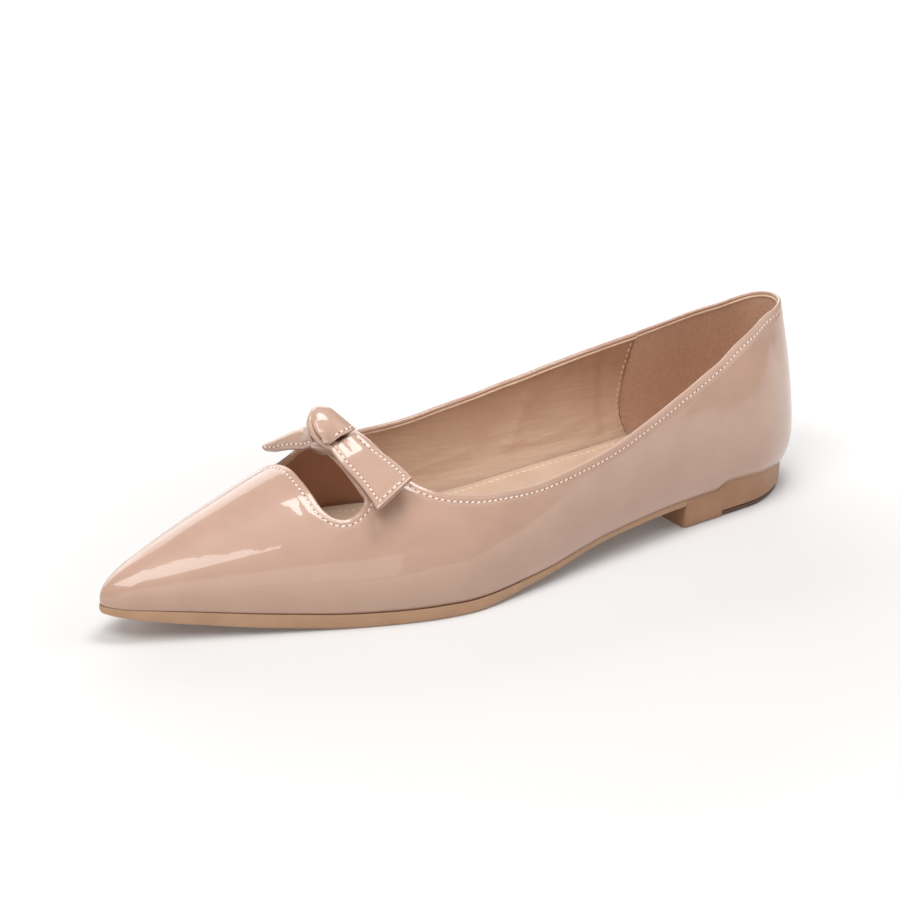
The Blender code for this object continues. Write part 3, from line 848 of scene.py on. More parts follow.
def skins(side, st):
    """Outside and inside of the upper's wall, its normals and the distances to open edges."""
    s, t = st[..., 0], st[..., 1]
    base = shell(side, s, t)
    normal = shell_normal(side, s, t)
    d = edge_distance(base)
    lift = sum(rise * hump(d, middle, width) for rise, middle, width in EDGE_RELIEF)
    lift = lift - crease_depth(side, base, CREASES)
    vamp = np.clip((s - LENGTH * HOLE_FRONT + LIP_BEHIND) / LIP_EASE, 0.0, 1.0)
    lift = lift - LIP_DRAW * vamp * hump(d, 0.0, LIP_REACH)
    ahead = np.clip((s - np.interp(t, SEAM_T, SEAM_S)) / SUEDE_EASE + 0.5, 0.0, 1.0)
    thick = WALL - SUEDE_STEP + SUEDE_STEP * ahead
    thick = thick + np.interp(d, INNER_RIM, (0.0, INNER_RIM_RISE, 0.0))
    thick = thick - crease_depth(side, base, LINING_CREASES)
    return base + normal * lift[..., None], base - normal * thick[..., None], normal, d


def centres(net):
    return 0.25 * (net[1:, 1:] + net[:-1, 1:] + net[1:, :-1] + net[:-1, :-1])


PATENT_MARK, EDGE_MARK, LINING_MARK, SUEDE_MARK, LINING_SHADE_MARK, SHADOW_LINE_MARK = range(6)
UPPER_LOOKS = (patent, cut_edge, lining, suede, painted_lining_shade, dark_painted_shade)
upper_pile = Pile()
stitch_lines = []
for side, half in halves.items():
    for number, st in enumerate(half.patches):
        skin, inside, normal, distance = skins(side, st)
        upper_pile.grid(skin, PATENT_MARK)
        s, t = np.moveaxis(centres(st), -1, 0)
        mark = np.where(s < np.interp(t, SEAM_T, SEAM_S), SUEDE_MARK, LINING_MARK)
        # The lining towards the toe is painted darker: painted shade for the shadow under the
        # strap
        mark = np.where(s > np.interp(t, TOE_SHADE_EDGE_T, TOE_SHADE_EDGE_S), LINING_SHADE_MARK, mark)
        # Inside the open edges: a dark line of painted shade at the very edge, the lining's cream
        # cut edge, then a dark line of painted shadow beyond the inner rim
        for limit, kind in zip(INNER_RIM[::-1], (SHADOW_LINE_MARK, EDGE_MARK, LINING_SHADE_MARK)):
            mark = np.where(centres(distance) < limit, kind, mark)
        upper_pile.grid(inside, mark.reshape(-1))
        if number < LOWER_PATCHES:
            upper_pile.grid(np.stack([skin[:, 0], inside[:, 0]], 1), LINING_MARK)
    for path in (half.throat, half.hole):
        skin, inside, normal, distance = skins(side, path)
        out = np.cross(normal, unit(np.gradient(skin, axis=0))) * side
        out[[0, -1], 1] = 0.0
        out = unit(out)
        turn = np.linspace(0.0, math.pi, RIM_TURNS + 2)[None, :, None]
        rim = (0.5 * (skin + inside)[:, None] + 0.5 * (skin - inside)[:, None] * np.cos(turn)
               + RIM_BULGE * out[:, None] * np.sin(turn))
        fold = RIM_TURNS + 1 if path is half.throat else HOLE_FOLD
        mark = np.where(np.arange(RIM_TURNS + 1) < fold, PATENT_MARK, EDGE_MARK)
        upper_pile.grid(rim, np.tile(mark, len(path) - 1))
        stitch_lines.append((side, path, out))
upper_pile.piece("upper_shell", UPPER_LOOKS, "upper", ("upper",))


# ------------------------------------------------ stitches, seams and welts of the upper
def dot(a, b):
    return (a * b).sum(-1)


def inside_edge(side, path, out, distance, steps=4):
    """Places (s, t) at a fixed distance inside an open edge."""
    st = path.copy()
    want = -out * distance / steps
    for _ in range(steps):
        along, rise = shell_rates(side, st[:, 0], st[:, 1])
        aa, ar, rr = dot(along, along), dot(along, rise), dot(rise, rise)
        wa, wr = dot(want, along), dot(want, rise)
        span = aa * rr - ar * ar
        st[:, 0] = shifted(st[:, 0], (wa * rr - wr * ar) / span)
        st[:, 1] = np.minimum(st[:, 1] + (wr * aa - wa * ar) / span, 1.0)
    return st


def pearl(length, width, height, rings=7, turns=8):
    """Rounded stitch lying along x, closed at its ends."""
    a = np.linspace(0.0, math.pi, rings)[:, None]
    b = np.linspace(0.0, 2.0 * math.pi, turns, endpoint=False)[None, :]
    body = np.sin(a) ** 0.6
    y = 0.5 * width * body * np.cos(b)
    z = 0.5 * height * body * np.sin(b)
    return np.stack(np.broadcast_arrays(0.5 * length * np.cos(a), y, z), -1)


STITCH_PITCH = 0.0020
STITCH_SINK_IN = 0.00004
STITCH_SHAPE = pearl(0.00132, 0.00066, 0.00058)
# Needle hole: a dark pearl of painted shade, sunk into the surface
HOLE_SHAPE = pearl(0.00062, 0.00056, 0.00034, 5, 8)
HOLE_SINK_IN = 0.00010
SEW_STEP = 0.0004


def sew(threads, holes, points, normals, pitch=STITCH_PITCH, slant=0.16, sink=STITCH_SINK_IN,
        shape=STITCH_SHAPE):
    """Lay stitches along a line on a surface, with a needle hole of painted shade between each
    two.
    """
    far = lengths(points)
    count = max(int(round(far[-1] / pitch)), 1)
    for k in range(count):
        stitch = (threads, (k + 0.5) / count, shape, slant, sink)
        hole = (holes, (k + 1.0) / count, HOLE_SHAPE, 0.0, HOLE_SINK_IN)
        for pile, at, form, lean, low in (stitch, hole):
            if pile is None or (pile is holes and k == count - 1):
                continue
            where = at * far[-1]
            up = unit(between(where, far, normals))
            ahead = between(where + SEW_STEP, far, points) - between(where - SEW_STEP, far, points)
            ahead = unit(ahead - up * (ahead @ up))
            lead = math.cos(lean) * ahead + math.sin(lean) * np.cross(up, ahead)
            put = form[..., :1] * lead + form[..., 1:2] * np.cross(up, lead) + form[..., 2:] * up
            pile.grid(put + between(where, far, points) - up * low, wrap=True)


# A direction that no rolled edge runs along
ROLL_ACROSS = np.array((0.51, 0.77, -0.38))


def roll(pile, path, radius, count=64, turns=14):
    """Rounded edge along a path, closed at its ends."""
    line = spline(path, count)
    ahead = unit(np.gradient(line, axis=0))
    sideways = unit(np.cross(ahead, ROLL_ACROSS))
    upwards = np.cross(sideways, ahead)
    size = radius * np.sqrt(1.0 - np.abs(np.linspace(-1.0, 1.0, count)) ** 14)
    turn = np.linspace(0.0, 2.0 * math.pi, turns, endpoint=False)[None, :, None]
    ring = np.cos(turn) * sideways[:, None] + np.sin(turn) * upwards[:, None]
    pile.grid(line[:, None] + size[:, None, None] * ring, wrap=True)


upper_threads, upper_hole_shade = Pile(), Pile()
for side, path, out in stitch_lines:
    skin, inside, normal, distance = skins(side, inside_edge(side, path, out, STITCH_INSET))
    sew(upper_threads, upper_hole_shade, skin, normal)

# Seam in front of the suede: distances of its stitches and of its dark line of painted shadow from
# the edge of the suede
SEAM_PITCH = 0.0022
SEAM_STITCH_OFF = 0.0014
SEAM_SHADOW_OFF = 0.0003
SEAM_SHADOW_SHAPE = pearl(0.0028, 0.00030, 0.00030)
# Welt over the edge of the lining's painted shade towards the toe: its radius, and how far it ends
# from an open edge
TOE_WELT = 0.0008
TOE_WELT_ROOM = 0.0016
seam_threads, seam_shadow_line, toe_welt = Pile(), Pile(), Pile()
for side in SIDES:
    throat = halves[side].throat[:120]
    t = np.linspace(0.05, 0.60, 80)
    for pile, off, shape, slant in ((seam_threads, SEAM_STITCH_OFF, STITCH_SHAPE, 0.1),
                                    (seam_shadow_line, SEAM_SHADOW_OFF, SEAM_SHADOW_SHAPE, 0.0)):
        st = pairs(np.interp(t, SEAM_T, SEAM_S) + off, t)
        st = st[t < np.interp(st[:, 0], throat[:, 0], throat[:, 1]) - 0.02]
        skin, inside, normal, distance = skins(side, st)
        sew(pile, None, inside, -normal, SEAM_PITCH, slant, 0.0, shape)
    t = np.linspace(0.03, 0.97, 90)
    skin, inside, normal, distance = skins(side, pairs(np.interp(t, TOE_SHADE_EDGE_T, TOE_SHADE_EDGE_S), t))
    near = distance < TOE_WELT_ROOM
    reach = int(np.argmax(near)) if near.any() else len(t)
    roll(toe_welt, (inside + 0.45 * TOE_WELT * normal)[:reach], TOE_WELT, 72, 10)
upper_threads.piece("upper_stitches", (thread,), "upper")
upper_hole_shade.piece("upper_needle_hole_shade", (dark_painted_shade,), "upper")
seam_threads.piece("lining_stitches", (lining_thread,), "upper")
seam_shadow_line.piece("lining_seam_shadow", (painted_lining_shade,), "upper")
toe_welt.piece("welt_over_lining_shade", (painted_lining_shade,), "upper")

# ------------------------------------------------ outsole, heel tip and insole
EDGE_TOP_ROUND = 0.0002
EDGE_LOW_ROUND = 0.0010
EDGE_BULGE = 0.00012
# Raised rim of the sole round the upper: its most, its share of the welt, its least width
SOLE_LIP = 0.0004
SOLE_LIP_SHARE = 0.5
LIP_WIDTH_LEAST = 0.0004
BREAST_ROUND = 0.0016
BREAST_EASE = 0.0012
HEEL_FOOT = 0.0005
# Draft of the heel block: share of its height and inset
HEEL_DRAFT = np.array(((0.0, 0.0009), (0.10, 0.0006), (0.55, 0.0004), (1.0, 0.0003)))
HEEL_BACK_DRAW = 0.0018
# Rows of the underside: step near the edge, edge radius below which it shrinks, shares inwards
UNDER_STEP = 0.0006
UNDER_FULL = 0.012
UNDER_SHARES = (0.8, 0.6, 0.4, 0.2, 0.0)
PLAIN_STATIONS = 170
STATION_ROOM = 0.0004


def foot_section(side, s):
    """A section's origin, the reach of the upper's lower edge in it, and its direction."""
    origin, reach, dir_x, dir_y = (float(v) for v in section_frame(side, s))
    return origin, reach - BALL_WIDTH * float(wall("tuck", s)), dir_x, dir_y


def heel_draw(dir_x):
    """How far the block stands in under the upper at the back of the heel."""
    return HEEL_BACK_DRAW * max(-dir_x, 0.0) ** 2


def sole_column(side, s):
    """One section of the outsole from the top centre over the edge to the bottom centre."""
    origin, reach, dir_x, dir_y = foot_section(side, s)
    welt = float(sole("welt", s))
    r = reach + welt - heel_draw(dir_x)

    def levels(radius):
        here = origin + dir_x * radius
        seat = float(sole("seat", here))
        return seat - GAP, max(seat - float(sole("edge", here)), 0.0)

    high, low = levels(r)
    top_round = min(EDGE_TOP_ROUND, 0.25 * (high - low))
    low_round = min(EDGE_LOW_ROUND, 0.5 * (high - low))
    crest = high + GAP + min(SOLE_LIP, SOLE_LIP_SHARE * welt)
    flat = r - top_round
    inner = [share * flat for share in (0.0, 0.25, 0.5, 0.7, 0.85, 0.95)]
    inner.append(max(flat - max(welt, LIP_WIDTH_LEAST), 0.96 * flat))
    rows = [(x, levels(x)[0]) for x in inner]
    rows += [(r - top_round * a, crest - top_round * b) for a, b in quarter(5)]
    first, last = crest - top_round, low + low_round
    rows += [(r + EDGE_BULGE * math.sin(math.pi * share), first + share * (last - first))
             for share in (0.25, 0.5, 0.75)]
    if s <= HEEL_BREAST:
        floor = TIP_HEIGHT + GAP if s < TIP_START + GAP else 0.0
        corner = np.clip((s - HEEL_BREAST + BREAST_ROUND) / BREAST_ROUND, 0.0, 1.0)
        breast = BREAST_ROUND * (1.0 - math.sqrt(1.0 - corner * corner))

        def inset(z):
            draft = float(np.interp(z / high, HEEL_DRAFT[:, 0], HEEL_DRAFT[:, 1]))
            deep = np.clip((last - z) / BREAST_EASE, 0.0, 1.0)
            return draft - HEEL_DRAFT[-1, 1] + breast * deep

        rows += [(r - inset(z), z) for z in np.linspace(last, floor + HEEL_FOOT, 10)]
        rows += [(r - inset(floor) - HEEL_FOOT * b, floor + HEEL_FOOT * a)
                 for a, b in quarter(6)[1:]]
        rows += [(share * rows[-1][0], floor) for share in UNDER_SHARES]
    else:
        rows += [(r - low_round * b, low + low_round * a) for a, b in quarter(7)]
        edge = rows[-1][0]
        under = [edge - UNDER_STEP * k * min(1.0, edge / UNDER_FULL) for k in range(1, 9)]
        under += [share * under[-1] for share in UNDER_SHARES]
        rows += [(x, levels(x)[1]) for x in under]
    radius, z = np.array(rows).T
    return place(side, origin, dir_x, dir_y, radius, z)


def close_stations(*places):
    """Stations along the shoe, close together at the heel, the toe and given places."""
    plain = np.linspace(HEEL_ROUND, LENGTH - TOE_ROUND, PLAIN_STATIONS)[1:-1]
    if places:
        apart = np.abs(plain[:, None] - np.array(places)).min(1)
        plain = plain[apart > STATION_ROOM]
    return np.sort(np.concatenate([heel_stations(), plain, toe_stations(14), places]))


# Stations just beside the steps at the tip and at the heel's front face
TIP_SPLIT = 0.00002
BREAST_SPLIT = 0.00003
corner_places = [HEEL_BREAST - BREAST_ROUND * a for a, b in quarter(8)]
sole_places = close_stations(TIP_START + GAP - TIP_SPLIT, TIP_START + GAP + TIP_SPLIT,
                             HEEL_BREAST + BREAST_SPLIT, *corner_places)
sole_pile = Pile()
for side in SIDES:
    columns = np.array([sole_column(side, s) for s in sole_places])
    block = np.repeat(sole_places[1:] < HEEL_BREAST + 2.0 * BREAST_SPLIT, columns.shape[1] - 1)
    sole_pile.grid(columns, np.where(block, 1, 0))
sole_pile.piece("moulded_sole", (tan, block_tan), "sole", ("outsole",), flat=0.7)

# The dark tip let in under the heel
TIP_INSET = 0.0006
TIP_ROUND = 0.0003
TIP_FOOT = 0.0005
TIP_FRONT = 0.00025
TIP_LEAN = (0.0001, 0.00028)


def tip_column(side, s):
    """One section of the tip from the top centre over the edge to the bottom centre."""
    origin, reach, dir_x, dir_y = foot_section(side, s)
    r = reach - TIP_INSET - heel_draw(dir_x)
    lead = max(0.0, (s - TIP_START + TIP_ROUND) / TIP_ROUND)
    front = TIP_FRONT * (1.0 - math.sqrt(max(0.0, 1.0 - lead ** 2)))
    rows = [(share * (r - TIP_ROUND), TIP_HEIGHT) for share in (0.0, 0.4, 0.8, 0.93)]
    rows += [(r - TIP_ROUND * a, TIP_HEIGHT - TIP_ROUND * b) for a, b in quarter(5)]
    rows += [(r - TIP_LEAN[0] * k, TIP_HEIGHT - TIP_ROUND - TIP_LEAN[1] * k) for k in (1, 2, 3)]
    rows += [(r - TIP_ROUND - TIP_FOOT * b, TIP_FOOT * a) for a, b in quarter(5)]
    rows += [(share * (r - TIP_ROUND - TIP_FOOT), 0.0) for share in (0.9, 0.6, 0.3, 0.0)]
    radius, z = np.array(rows).T
    radius = radius - front * np.clip(radius / 0.02, 0.0, 1.0)
    z = z + front * np.where(z > TIP_HEIGHT / 2.0, -1.0, 1.0)
    return place(side, origin, dir_x, dir_y, radius, z)


places = close_stations()
tip_front = TIP_START - np.array((TIP_ROUND, 0.0001, 0.0))
tip_places = np.concatenate([places[places < tip_front[0]], tip_front])
tip_pile = Pile()
ends = []
for side in SIDES:
    columns = np.array([tip_column(side, s) for s in tip_places])
    tip_pile.grid(columns)
    ends.append(columns[-1])
tip_pile.cap(ends)
tip_pile.piece("heel_tip_worn", (tip_dark,), "heel_tip", ("heel_tip",), flat=0.7)

# The sock: its stitch line and rim as insets, and how it cups up along the ball
INSOLE_STITCH = 0.0034
INSOLE_STITCH_ROW = 12
INSOLE_STITCH_END = 0.215
INSOLE_INSETS = (0.0105, 0.0080, 0.0062, 0.0050, 0.0044, 0.0040, 0.0037, 0.0034, 0.0031, 0.0028,
                 0.0024, 0.0018, 0.0013)
INSOLE_FULL = 0.016
INSOLE_GROOVE = 0.00022
INSOLE_GROOVE_WIDTH = 0.00045
INSOLE_ROUND = 0.0009
INSOLE_ROOM = 0.0006
INSOLE_FRONT_ROOM = 0.003
INSOLE_PITCH = 0.0026
INSOLE_SINK_IN = 0.00002
INSOLE_CUP = 0.0036
INSOLE_CUP_MIDDLE = 0.172
INSOLE_CUP_LENGTH = 0.030


def insole_column(side, s):
    """One section of the sock from the top centre over the rim to the bottom centre."""
    origin, reach, dir_x, dir_y = foot_section(side, s)
    r = reach - WALL - INSOLE_ROOM

    def levels(radius):
        here = origin + dir_x * radius
        low = float(sole("seat", here))
        top = HEEL_HEIGHT * float(read_insole("seat", here / LENGTH))
        return low, max(top, low) + INSOLE_THICK

    cup = INSOLE_CUP * hump(s, INSOLE_CUP_MIDDLE, INSOLE_CUP_LENGTH)
    insets = np.array(INSOLE_INSETS) * min(1.0, r / INSOLE_FULL)
    rows = [(share * (r - insets[0]), 0.0) for share in (0.0, 0.2, 0.4, 0.6, 0.8)]
    rows += [(r - x, INSOLE_GROOVE * hump(x, INSOLE_STITCH, INSOLE_GROOVE_WIDTH)) for x in insets]
    rows += [(r - INSOLE_ROUND * a, INSOLE_ROUND * b) for a, b in quarter(6)]
    radius = [x for x, drop in rows]
    z = [levels(x)[1] - drop + cup * (x / r) ** 5 for x, drop in rows]
    under = [r - 0.0003, 0.8 * r, 0.5 * r, 0.0]
    high = levels(r)[1]
    radius += [r, r] + under
    z += [high - 0.0014 + 0.5 * cup, high - 0.0020] + [levels(x)[0] + 0.00005 for x in under]
    return place(side, origin, dir_x, dir_y, np.array(radius), np.array(z))


insole_places = places[places < LENGTH - INSOLE_FRONT_ROOM]
insole_pile, insole_threads = Pile(), Pile()
ends = []
for side in SIDES:
    columns = np.array([insole_column(side, s) for s in insole_places])
    insole_pile.grid(columns)
    ends.append(columns[-1])
    row = columns[insole_places < INSOLE_STITCH_END, INSOLE_STITCH_ROW]
    up = np.tile((0.0, 0.0, 1.0), (len(row), 1))
    sew(insole_threads, None, row, up, INSOLE_PITCH, 0.0, INSOLE_SINK_IN,
        pearl(0.0017, 0.0007, 0.0005))
insole_pile.cap(ends)
insole_pile.piece("insole_sock", (sock,), "insole", ("insole",), flat=0.8)
insole_threads.piece("insole_stitches", (pale_thread,), "insole")


# ------------------------------------------------ bow
def refine(net, count_u, count_v):
    """Smooth sheet through a net of points."""
    columns = np.stack([spline(net[:, j], count_u) for j in range(net.shape[1])], 1)
    return np.stack([spline(row, count_v) for row in columns], 0)


# Edge of a folded two-layer strip: reach outwards and height, as shares of half its thickness
FOLD_EDGE = ((0.00, 1.00), (0.45, 0.93), (0.75, 0.74), (0.85, 0.52), (0.72, 0.30), (0.30, 0.10),
             (0.22, 0.00))
FOLD = FOLD_EDGE[1:] + tuple((x, -y) for x, y in FOLD_EDGE[-2:0:-1])
BOW_STITCH = 0.0011
BOW_PITCH = 0.0021
BOW_SLANT = 0.12
BOW_EASE = 0.0016
BOW_GROOVE_WIDTH = 0.00045


def ribbon(pile, net, count_u, count_v, thick, flip, swell=0.0, groove=0.0):
    """Closed two-layer strip on a net of points; gives its top sheet, normals and lengths."""
    sheet = refine(net, count_u, count_v)
    du = np.gradient(sheet, axis=0)
    dv = np.gradient(sheet, axis=1)
    normal = unit(np.cross(du, dv)) * flip
    across = lengths(sheet, 1)
    down = lengths(sheet, 0)
    edge = np.minimum(np.minimum(across, across[:, -1:] - across), down[-1:] - down)
    half = 0.5 * thick
    rise = half + swell * (1.0 - hump(edge, 0.0, BOW_EASE))
    rise = rise - groove * hump(edge, BOW_STITCH, BOW_GROOVE_WIDTH)
    edge_v = unit(dv)
    edge_u = unit(du)

    def loop(u, share, push):
        mid = sheet[u] + edge_u[u] * push
        top = mid + normal[u] * (rise[u] * share)[:, None]
        low = mid - normal[u] * (half * share)
        size = half * math.sqrt(share)
        right = [mid[-1] + edge_v[u, -1] * x * size + normal[u, -1] * y * half * share
                 for x, y in FOLD]
        left = [mid[0] - edge_v[u, 0] * x * size + normal[u, 0] * y * half * share
                for x, y in FOLD[::-1]]
        return [*top, *right, *low[::-1], *left]

    rows = [loop(0, y, -x * half) for x, y in reversed(FOLD_EDGE[1:])]
    rows += [loop(u, 1.0, 0.0) for u in range(count_u)]
    rows += [loop(count_u - 1, y, x * half) for x, y in FOLD_EDGE[1:]]
    pile.grid(np.array(rows), wrap=True)
    return sheet + normal * rise[..., None], normal, across, down


def line_inside(top, normal, across, down, inset):
    """Stitch line down one edge of a strip, along its free end and up the other edge."""
    rows, columns = across.shape
    length = down[:, columns // 2]
    end = float(np.interp(length[-1] - inset, length, np.arange(rows)))
    us = np.linspace(0.0, end, 60)

    def column_at(u, far):
        row = across[int(round(u))]
        return float(np.interp(row[-1] - inset if far else inset, row, np.arange(columns)))

    places = [(u, column_at(u, False)) for u in us]
    free_end = np.linspace(column_at(end, False), column_at(end, True), 20)[1:-1]
    places += [(end, float(v)) for v in free_end]
    places += [(u, column_at(u, True)) for u in us[::-1]]
    made = []
    for source in (top, normal):
        line = []
        for u, v in places:
            i, j = min(int(u), rows - 2), min(int(v), columns - 2)
            a, b = u - i, v - j
            line.append((1 - a) * ((1 - b) * source[i, j] + b * source[i, j + 1])
                        + a * ((1 - b) * source[i + 1, j] + b * source[i + 1, j + 1]))
        made.append(np.array(line))
    return made


# How the outer tail rises to the knot and how much it is arched across
TAIL_ROOT_RISE = 0.0022
TAIL_ROOT_SHARE = 0.32
TAIL_ARCH = 0.0004
TAIL_CURL = 0.0020
TAIL_PLEAT = 0.00022
TAIL_PLEAT_SHARE = 0.45
TAIL_SWELL = 0.00014
TAIL_GROOVE = 0.00022
# How far the loose end of the outer tail stands off the side
TAIL_STAND = 0.0030 * np.array((-0.51, -0.77, 0.38))


def tail_net():
    """Middle sheet of the outer tail: it leaves the knot and lies down along the side."""
    low_front, low_back = TAIL_LOW
    net = []
    for down in np.linspace(0.0, 1.0, 9):
        front = LENGTH * read_tail("front", down) + 0.0014 - 0.0006 * down
        back = LENGTH * read_tail("back", down) + 0.0013
        lift = float(read_tail("lift", down)) + 0.5 * TAIL_THICK
        root = max(0.0, 1.0 - down / TAIL_ROOT_SHARE)
        lift = lift + TAIL_ROOT_RISE * root ** 1.6 + TAIL_CURL * down ** 3
        pleat = TAIL_PLEAT * max(0.0, 1.0 - down / TAIL_PLEAT_SHARE)
        row = []
        for across in np.linspace(0.0, 1.0, 7):
            low = low_front + across * (low_back - low_front)
            t = np.array(TAIL_TOP + down * (low - TAIL_TOP))
            s = np.array(front + across * (back - front))
            arch = TAIL_ARCH * math.sin(math.pi * across)
            off = lift + arch + pleat * math.cos(3.0 * math.pi * across)
            point = shell(OUTER, s, t) + shell_normal(OUTER, s, t) * off
            row.append(point + TAIL_STAND * down ** 2.5)
        net.append(row)
    return np.array(net)


# Inner tail: it stands on edge at the knot and lies flat at its tip; rows from the knot to the
# tip, each from its edge towards the toe over the crest to the other edge, in millimetres
INNER_TAIL = np.array((
    ((-55.0, 1.4, 47.4), (-54.9, 2.6, 50.8), (-53.0, 3.4, 53.0),
     (-49.0, 3.6, 53.2), (-44.8, 2.8, 51.4)),
    ((-56.0, 5.6, 45.2), (-55.4, 6.8, 48.0), (-53.8, 7.6, 50.0),
     (-49.4, 7.8, 50.6), (-44.8, 7.0, 49.4)),
    ((-57.2, 10.0, 43.9), (-56.9, 10.8, 46.0), (-55.6, 11.4, 47.8),
     (-50.6, 11.8, 48.0), (-45.4, 11.4, 47.2)),
    ((-58.2, 14.2, 42.4), (-58.3, 14.8, 44.0), (-57.2, 15.4, 45.2),
     (-52.2, 16.2, 45.0), (-46.6, 16.6, 44.4)),
    ((-59.0, 18.2, 40.8), (-59.5, 18.6, 42.0), (-58.8, 19.2, 42.6),
     (-53.4, 20.6, 42.0), (-48.0, 21.8, 41.2)),
    ((-59.9, 22.2, 39.8), (-60.2, 22.5, 40.2), (-60.0, 22.9, 40.4),
     (-55.0, 25.0, 39.2), (-49.4, 27.0, 38.0)),
)) * 0.001

# Knot: a band that starts at the root of the outer tail, spreads over the top and goes down
# behind; rows follow the band, each from its edge towards the toe to the other edge
KNOT_WRAP = np.array((
    ((-56.2, -6.7, 50.9), (-55.8, -6.9, 51.0), (-55.3, -7.0, 50.9),
     (-54.8, -7.0, 50.7), (-54.3, -7.0, 50.4)),
    ((-58.0, -3.8, 53.4), (-56.4, -5.0, 54.2), (-54.6, -5.9, 54.2),
     (-52.6, -6.7, 53.5), (-50.6, -7.2, 52.3)),
    ((-57.9, -0.8, 56.2), (-55.0, -1.9, 57.6), (-51.8, -3.1, 57.3),
     (-48.6, -4.8, 55.4), (-45.8, -6.2, 52.5)),
    ((-55.6, 2.4, 58.2), (-52.6, 1.7, 59.2), (-49.2, 0.8, 58.3),
     (-45.9, -0.8, 55.2), (-43.0, -2.8, 51.2)),
    ((-53.3, 5.0, 56.2), (-50.4, 5.0, 56.6), (-47.4, 4.6, 55.2),
     (-44.6, 3.6, 52.4), (-42.4, 2.0, 49.2)),
    ((-51.8, 6.6, 50.6), (-49.4, 7.2, 50.8), (-46.8, 7.2, 49.8),
     (-44.6, 6.4, 48.4), (-43.0, 5.0, 46.9)),
)) * 0.001
# The band's own lower turn, round the strap's front edge
KNOT_TURN = np.array((
    ((-50.4, 9.0, 47.8), (-53.0, 9.2, 46.0), (-52.0, 9.2, 43.2)),
    ((-51.6, 4.6, 49.2), (-54.2, 4.8, 46.8), (-52.8, 4.8, 44.0)),
    ((-52.6, 0.6, 50.0), (-55.2, 0.4, 47.4), (-53.4, 0.4, 44.8)),
    ((-52.8, -3.4, 50.2), (-55.0, -3.8, 48.2), (-53.4, -3.8, 46.0)),
    ((-51.4, -6.4, 49.8), (-53.0, -7.0, 48.6), (-51.8, -7.0, 47.0)),
)) * 0.001
# Rolled rim of the knot: from behind its top down towards the toe and under the outer tail
KNOT_ROLL = np.array((
    (-51.4, 4.4, 57.4),
    (-54.2, 2.2, 58.1),
    (-57.1, -0.6, 56.6),
    (-57.6, -3.0, 53.8),
    (-56.6, -5.0, 51.3),
    (-54.4, -6.6, 49.3),
    (-51.7, -7.8, 48.1),
)) * 0.001
KNOT_ROLL_SIZE = 0.00095
# What the band is wrapped round: the tied strip inside the knot
KNOT_CORE = np.array((
    (-54.8, -5.0, 50.6),
    (-55.0, -1.6, 52.6),
    (-54.4, 1.8, 53.8),
    (-53.0, 5.0, 52.9),
    (-51.4, 7.2, 50.4),
)) * 0.001
KNOT_CORE_SIZE = 0.0020
WRAP_THICK = 0.0009
TURN_THICK = 0.0014
WRAP_LAYER_DROP = 0.0015
WRAP_RIM = 0.0017
WRAP_LIFT = 0.0006


def band_layers(net):
    """Two layers of the knot's band: one drawn in from the edge towards the toe, one below."""
    across = np.gradient(net, axis=1)
    normal = -unit(np.cross(np.gradient(net, axis=0), across))
    first = net.copy()
    first[:, 0] += unit(across[:, 0]) * WRAP_RIM
    first[1:4, 4] += normal[1:4, 4] * WRAP_LIFT
    return first, net - normal * WRAP_LAYER_DROP


# Fineness of the knot's band, and which of its rows carry stitches
WRAP_ROWS, WRAP_COLUMNS = 60, 48
WRAP_STITCHED = range(9, 50)
bow_threads, bow_hole_shade = Pile(), Pile()
for name, node, net, flip in (("tail_outer", "bow_tail_outer", tail_net(), 1.0),
                              ("tail_inner", "bow_tail_inner", INNER_TAIL, -1.0)):
    tail_pile = Pile()
    strip = ribbon(tail_pile, net, 70, 44, TAIL_THICK, flip, TAIL_SWELL, TAIL_GROOVE)
    tail_pile.piece(name, (bow_patent,), "bow", (node,))
    sew(bow_threads, bow_hole_shade, *line_inside(*strip, BOW_STITCH), BOW_PITCH, BOW_SLANT)
knot_pile = Pile()
first_layer, second_layer = band_layers(KNOT_WRAP)
top, normal, across, down = ribbon(knot_pile, first_layer, WRAP_ROWS, WRAP_COLUMNS,
                                   WRAP_THICK, -1.0)
points, normals = [], []
for u in WRAP_STITCHED:
    v = float(np.interp(across[u, -1] - BOW_STITCH, across[u], np.arange(WRAP_COLUMNS)))
    k = min(int(v), WRAP_COLUMNS - 2)
    points.append((k + 1 - v) * top[u, k] + (v - k) * top[u, k + 1])
    normals.append(normal[u, k])
sew(bow_threads, bow_hole_shade, np.array(points), np.array(normals), BOW_PITCH, BOW_SLANT)
ribbon(knot_pile, second_layer, WRAP_ROWS, WRAP_COLUMNS, WRAP_THICK, -1.0)
roll(knot_pile, KNOT_ROLL, KNOT_ROLL_SIZE)
roll(knot_pile, KNOT_CORE, KNOT_CORE_SIZE)
ribbon(knot_pile, KNOT_TURN, 48, 20, TURN_THICK, -1.0)
knot_pile.piece("knot_wrap", (bow_patent,), "bow", ("bow_knot",))
bow_threads.piece("bow_stitches", (thread,), "bow")
bow_hole_shade.piece("bow_needle_hole_shade", (dark_painted_shade,), "bow")

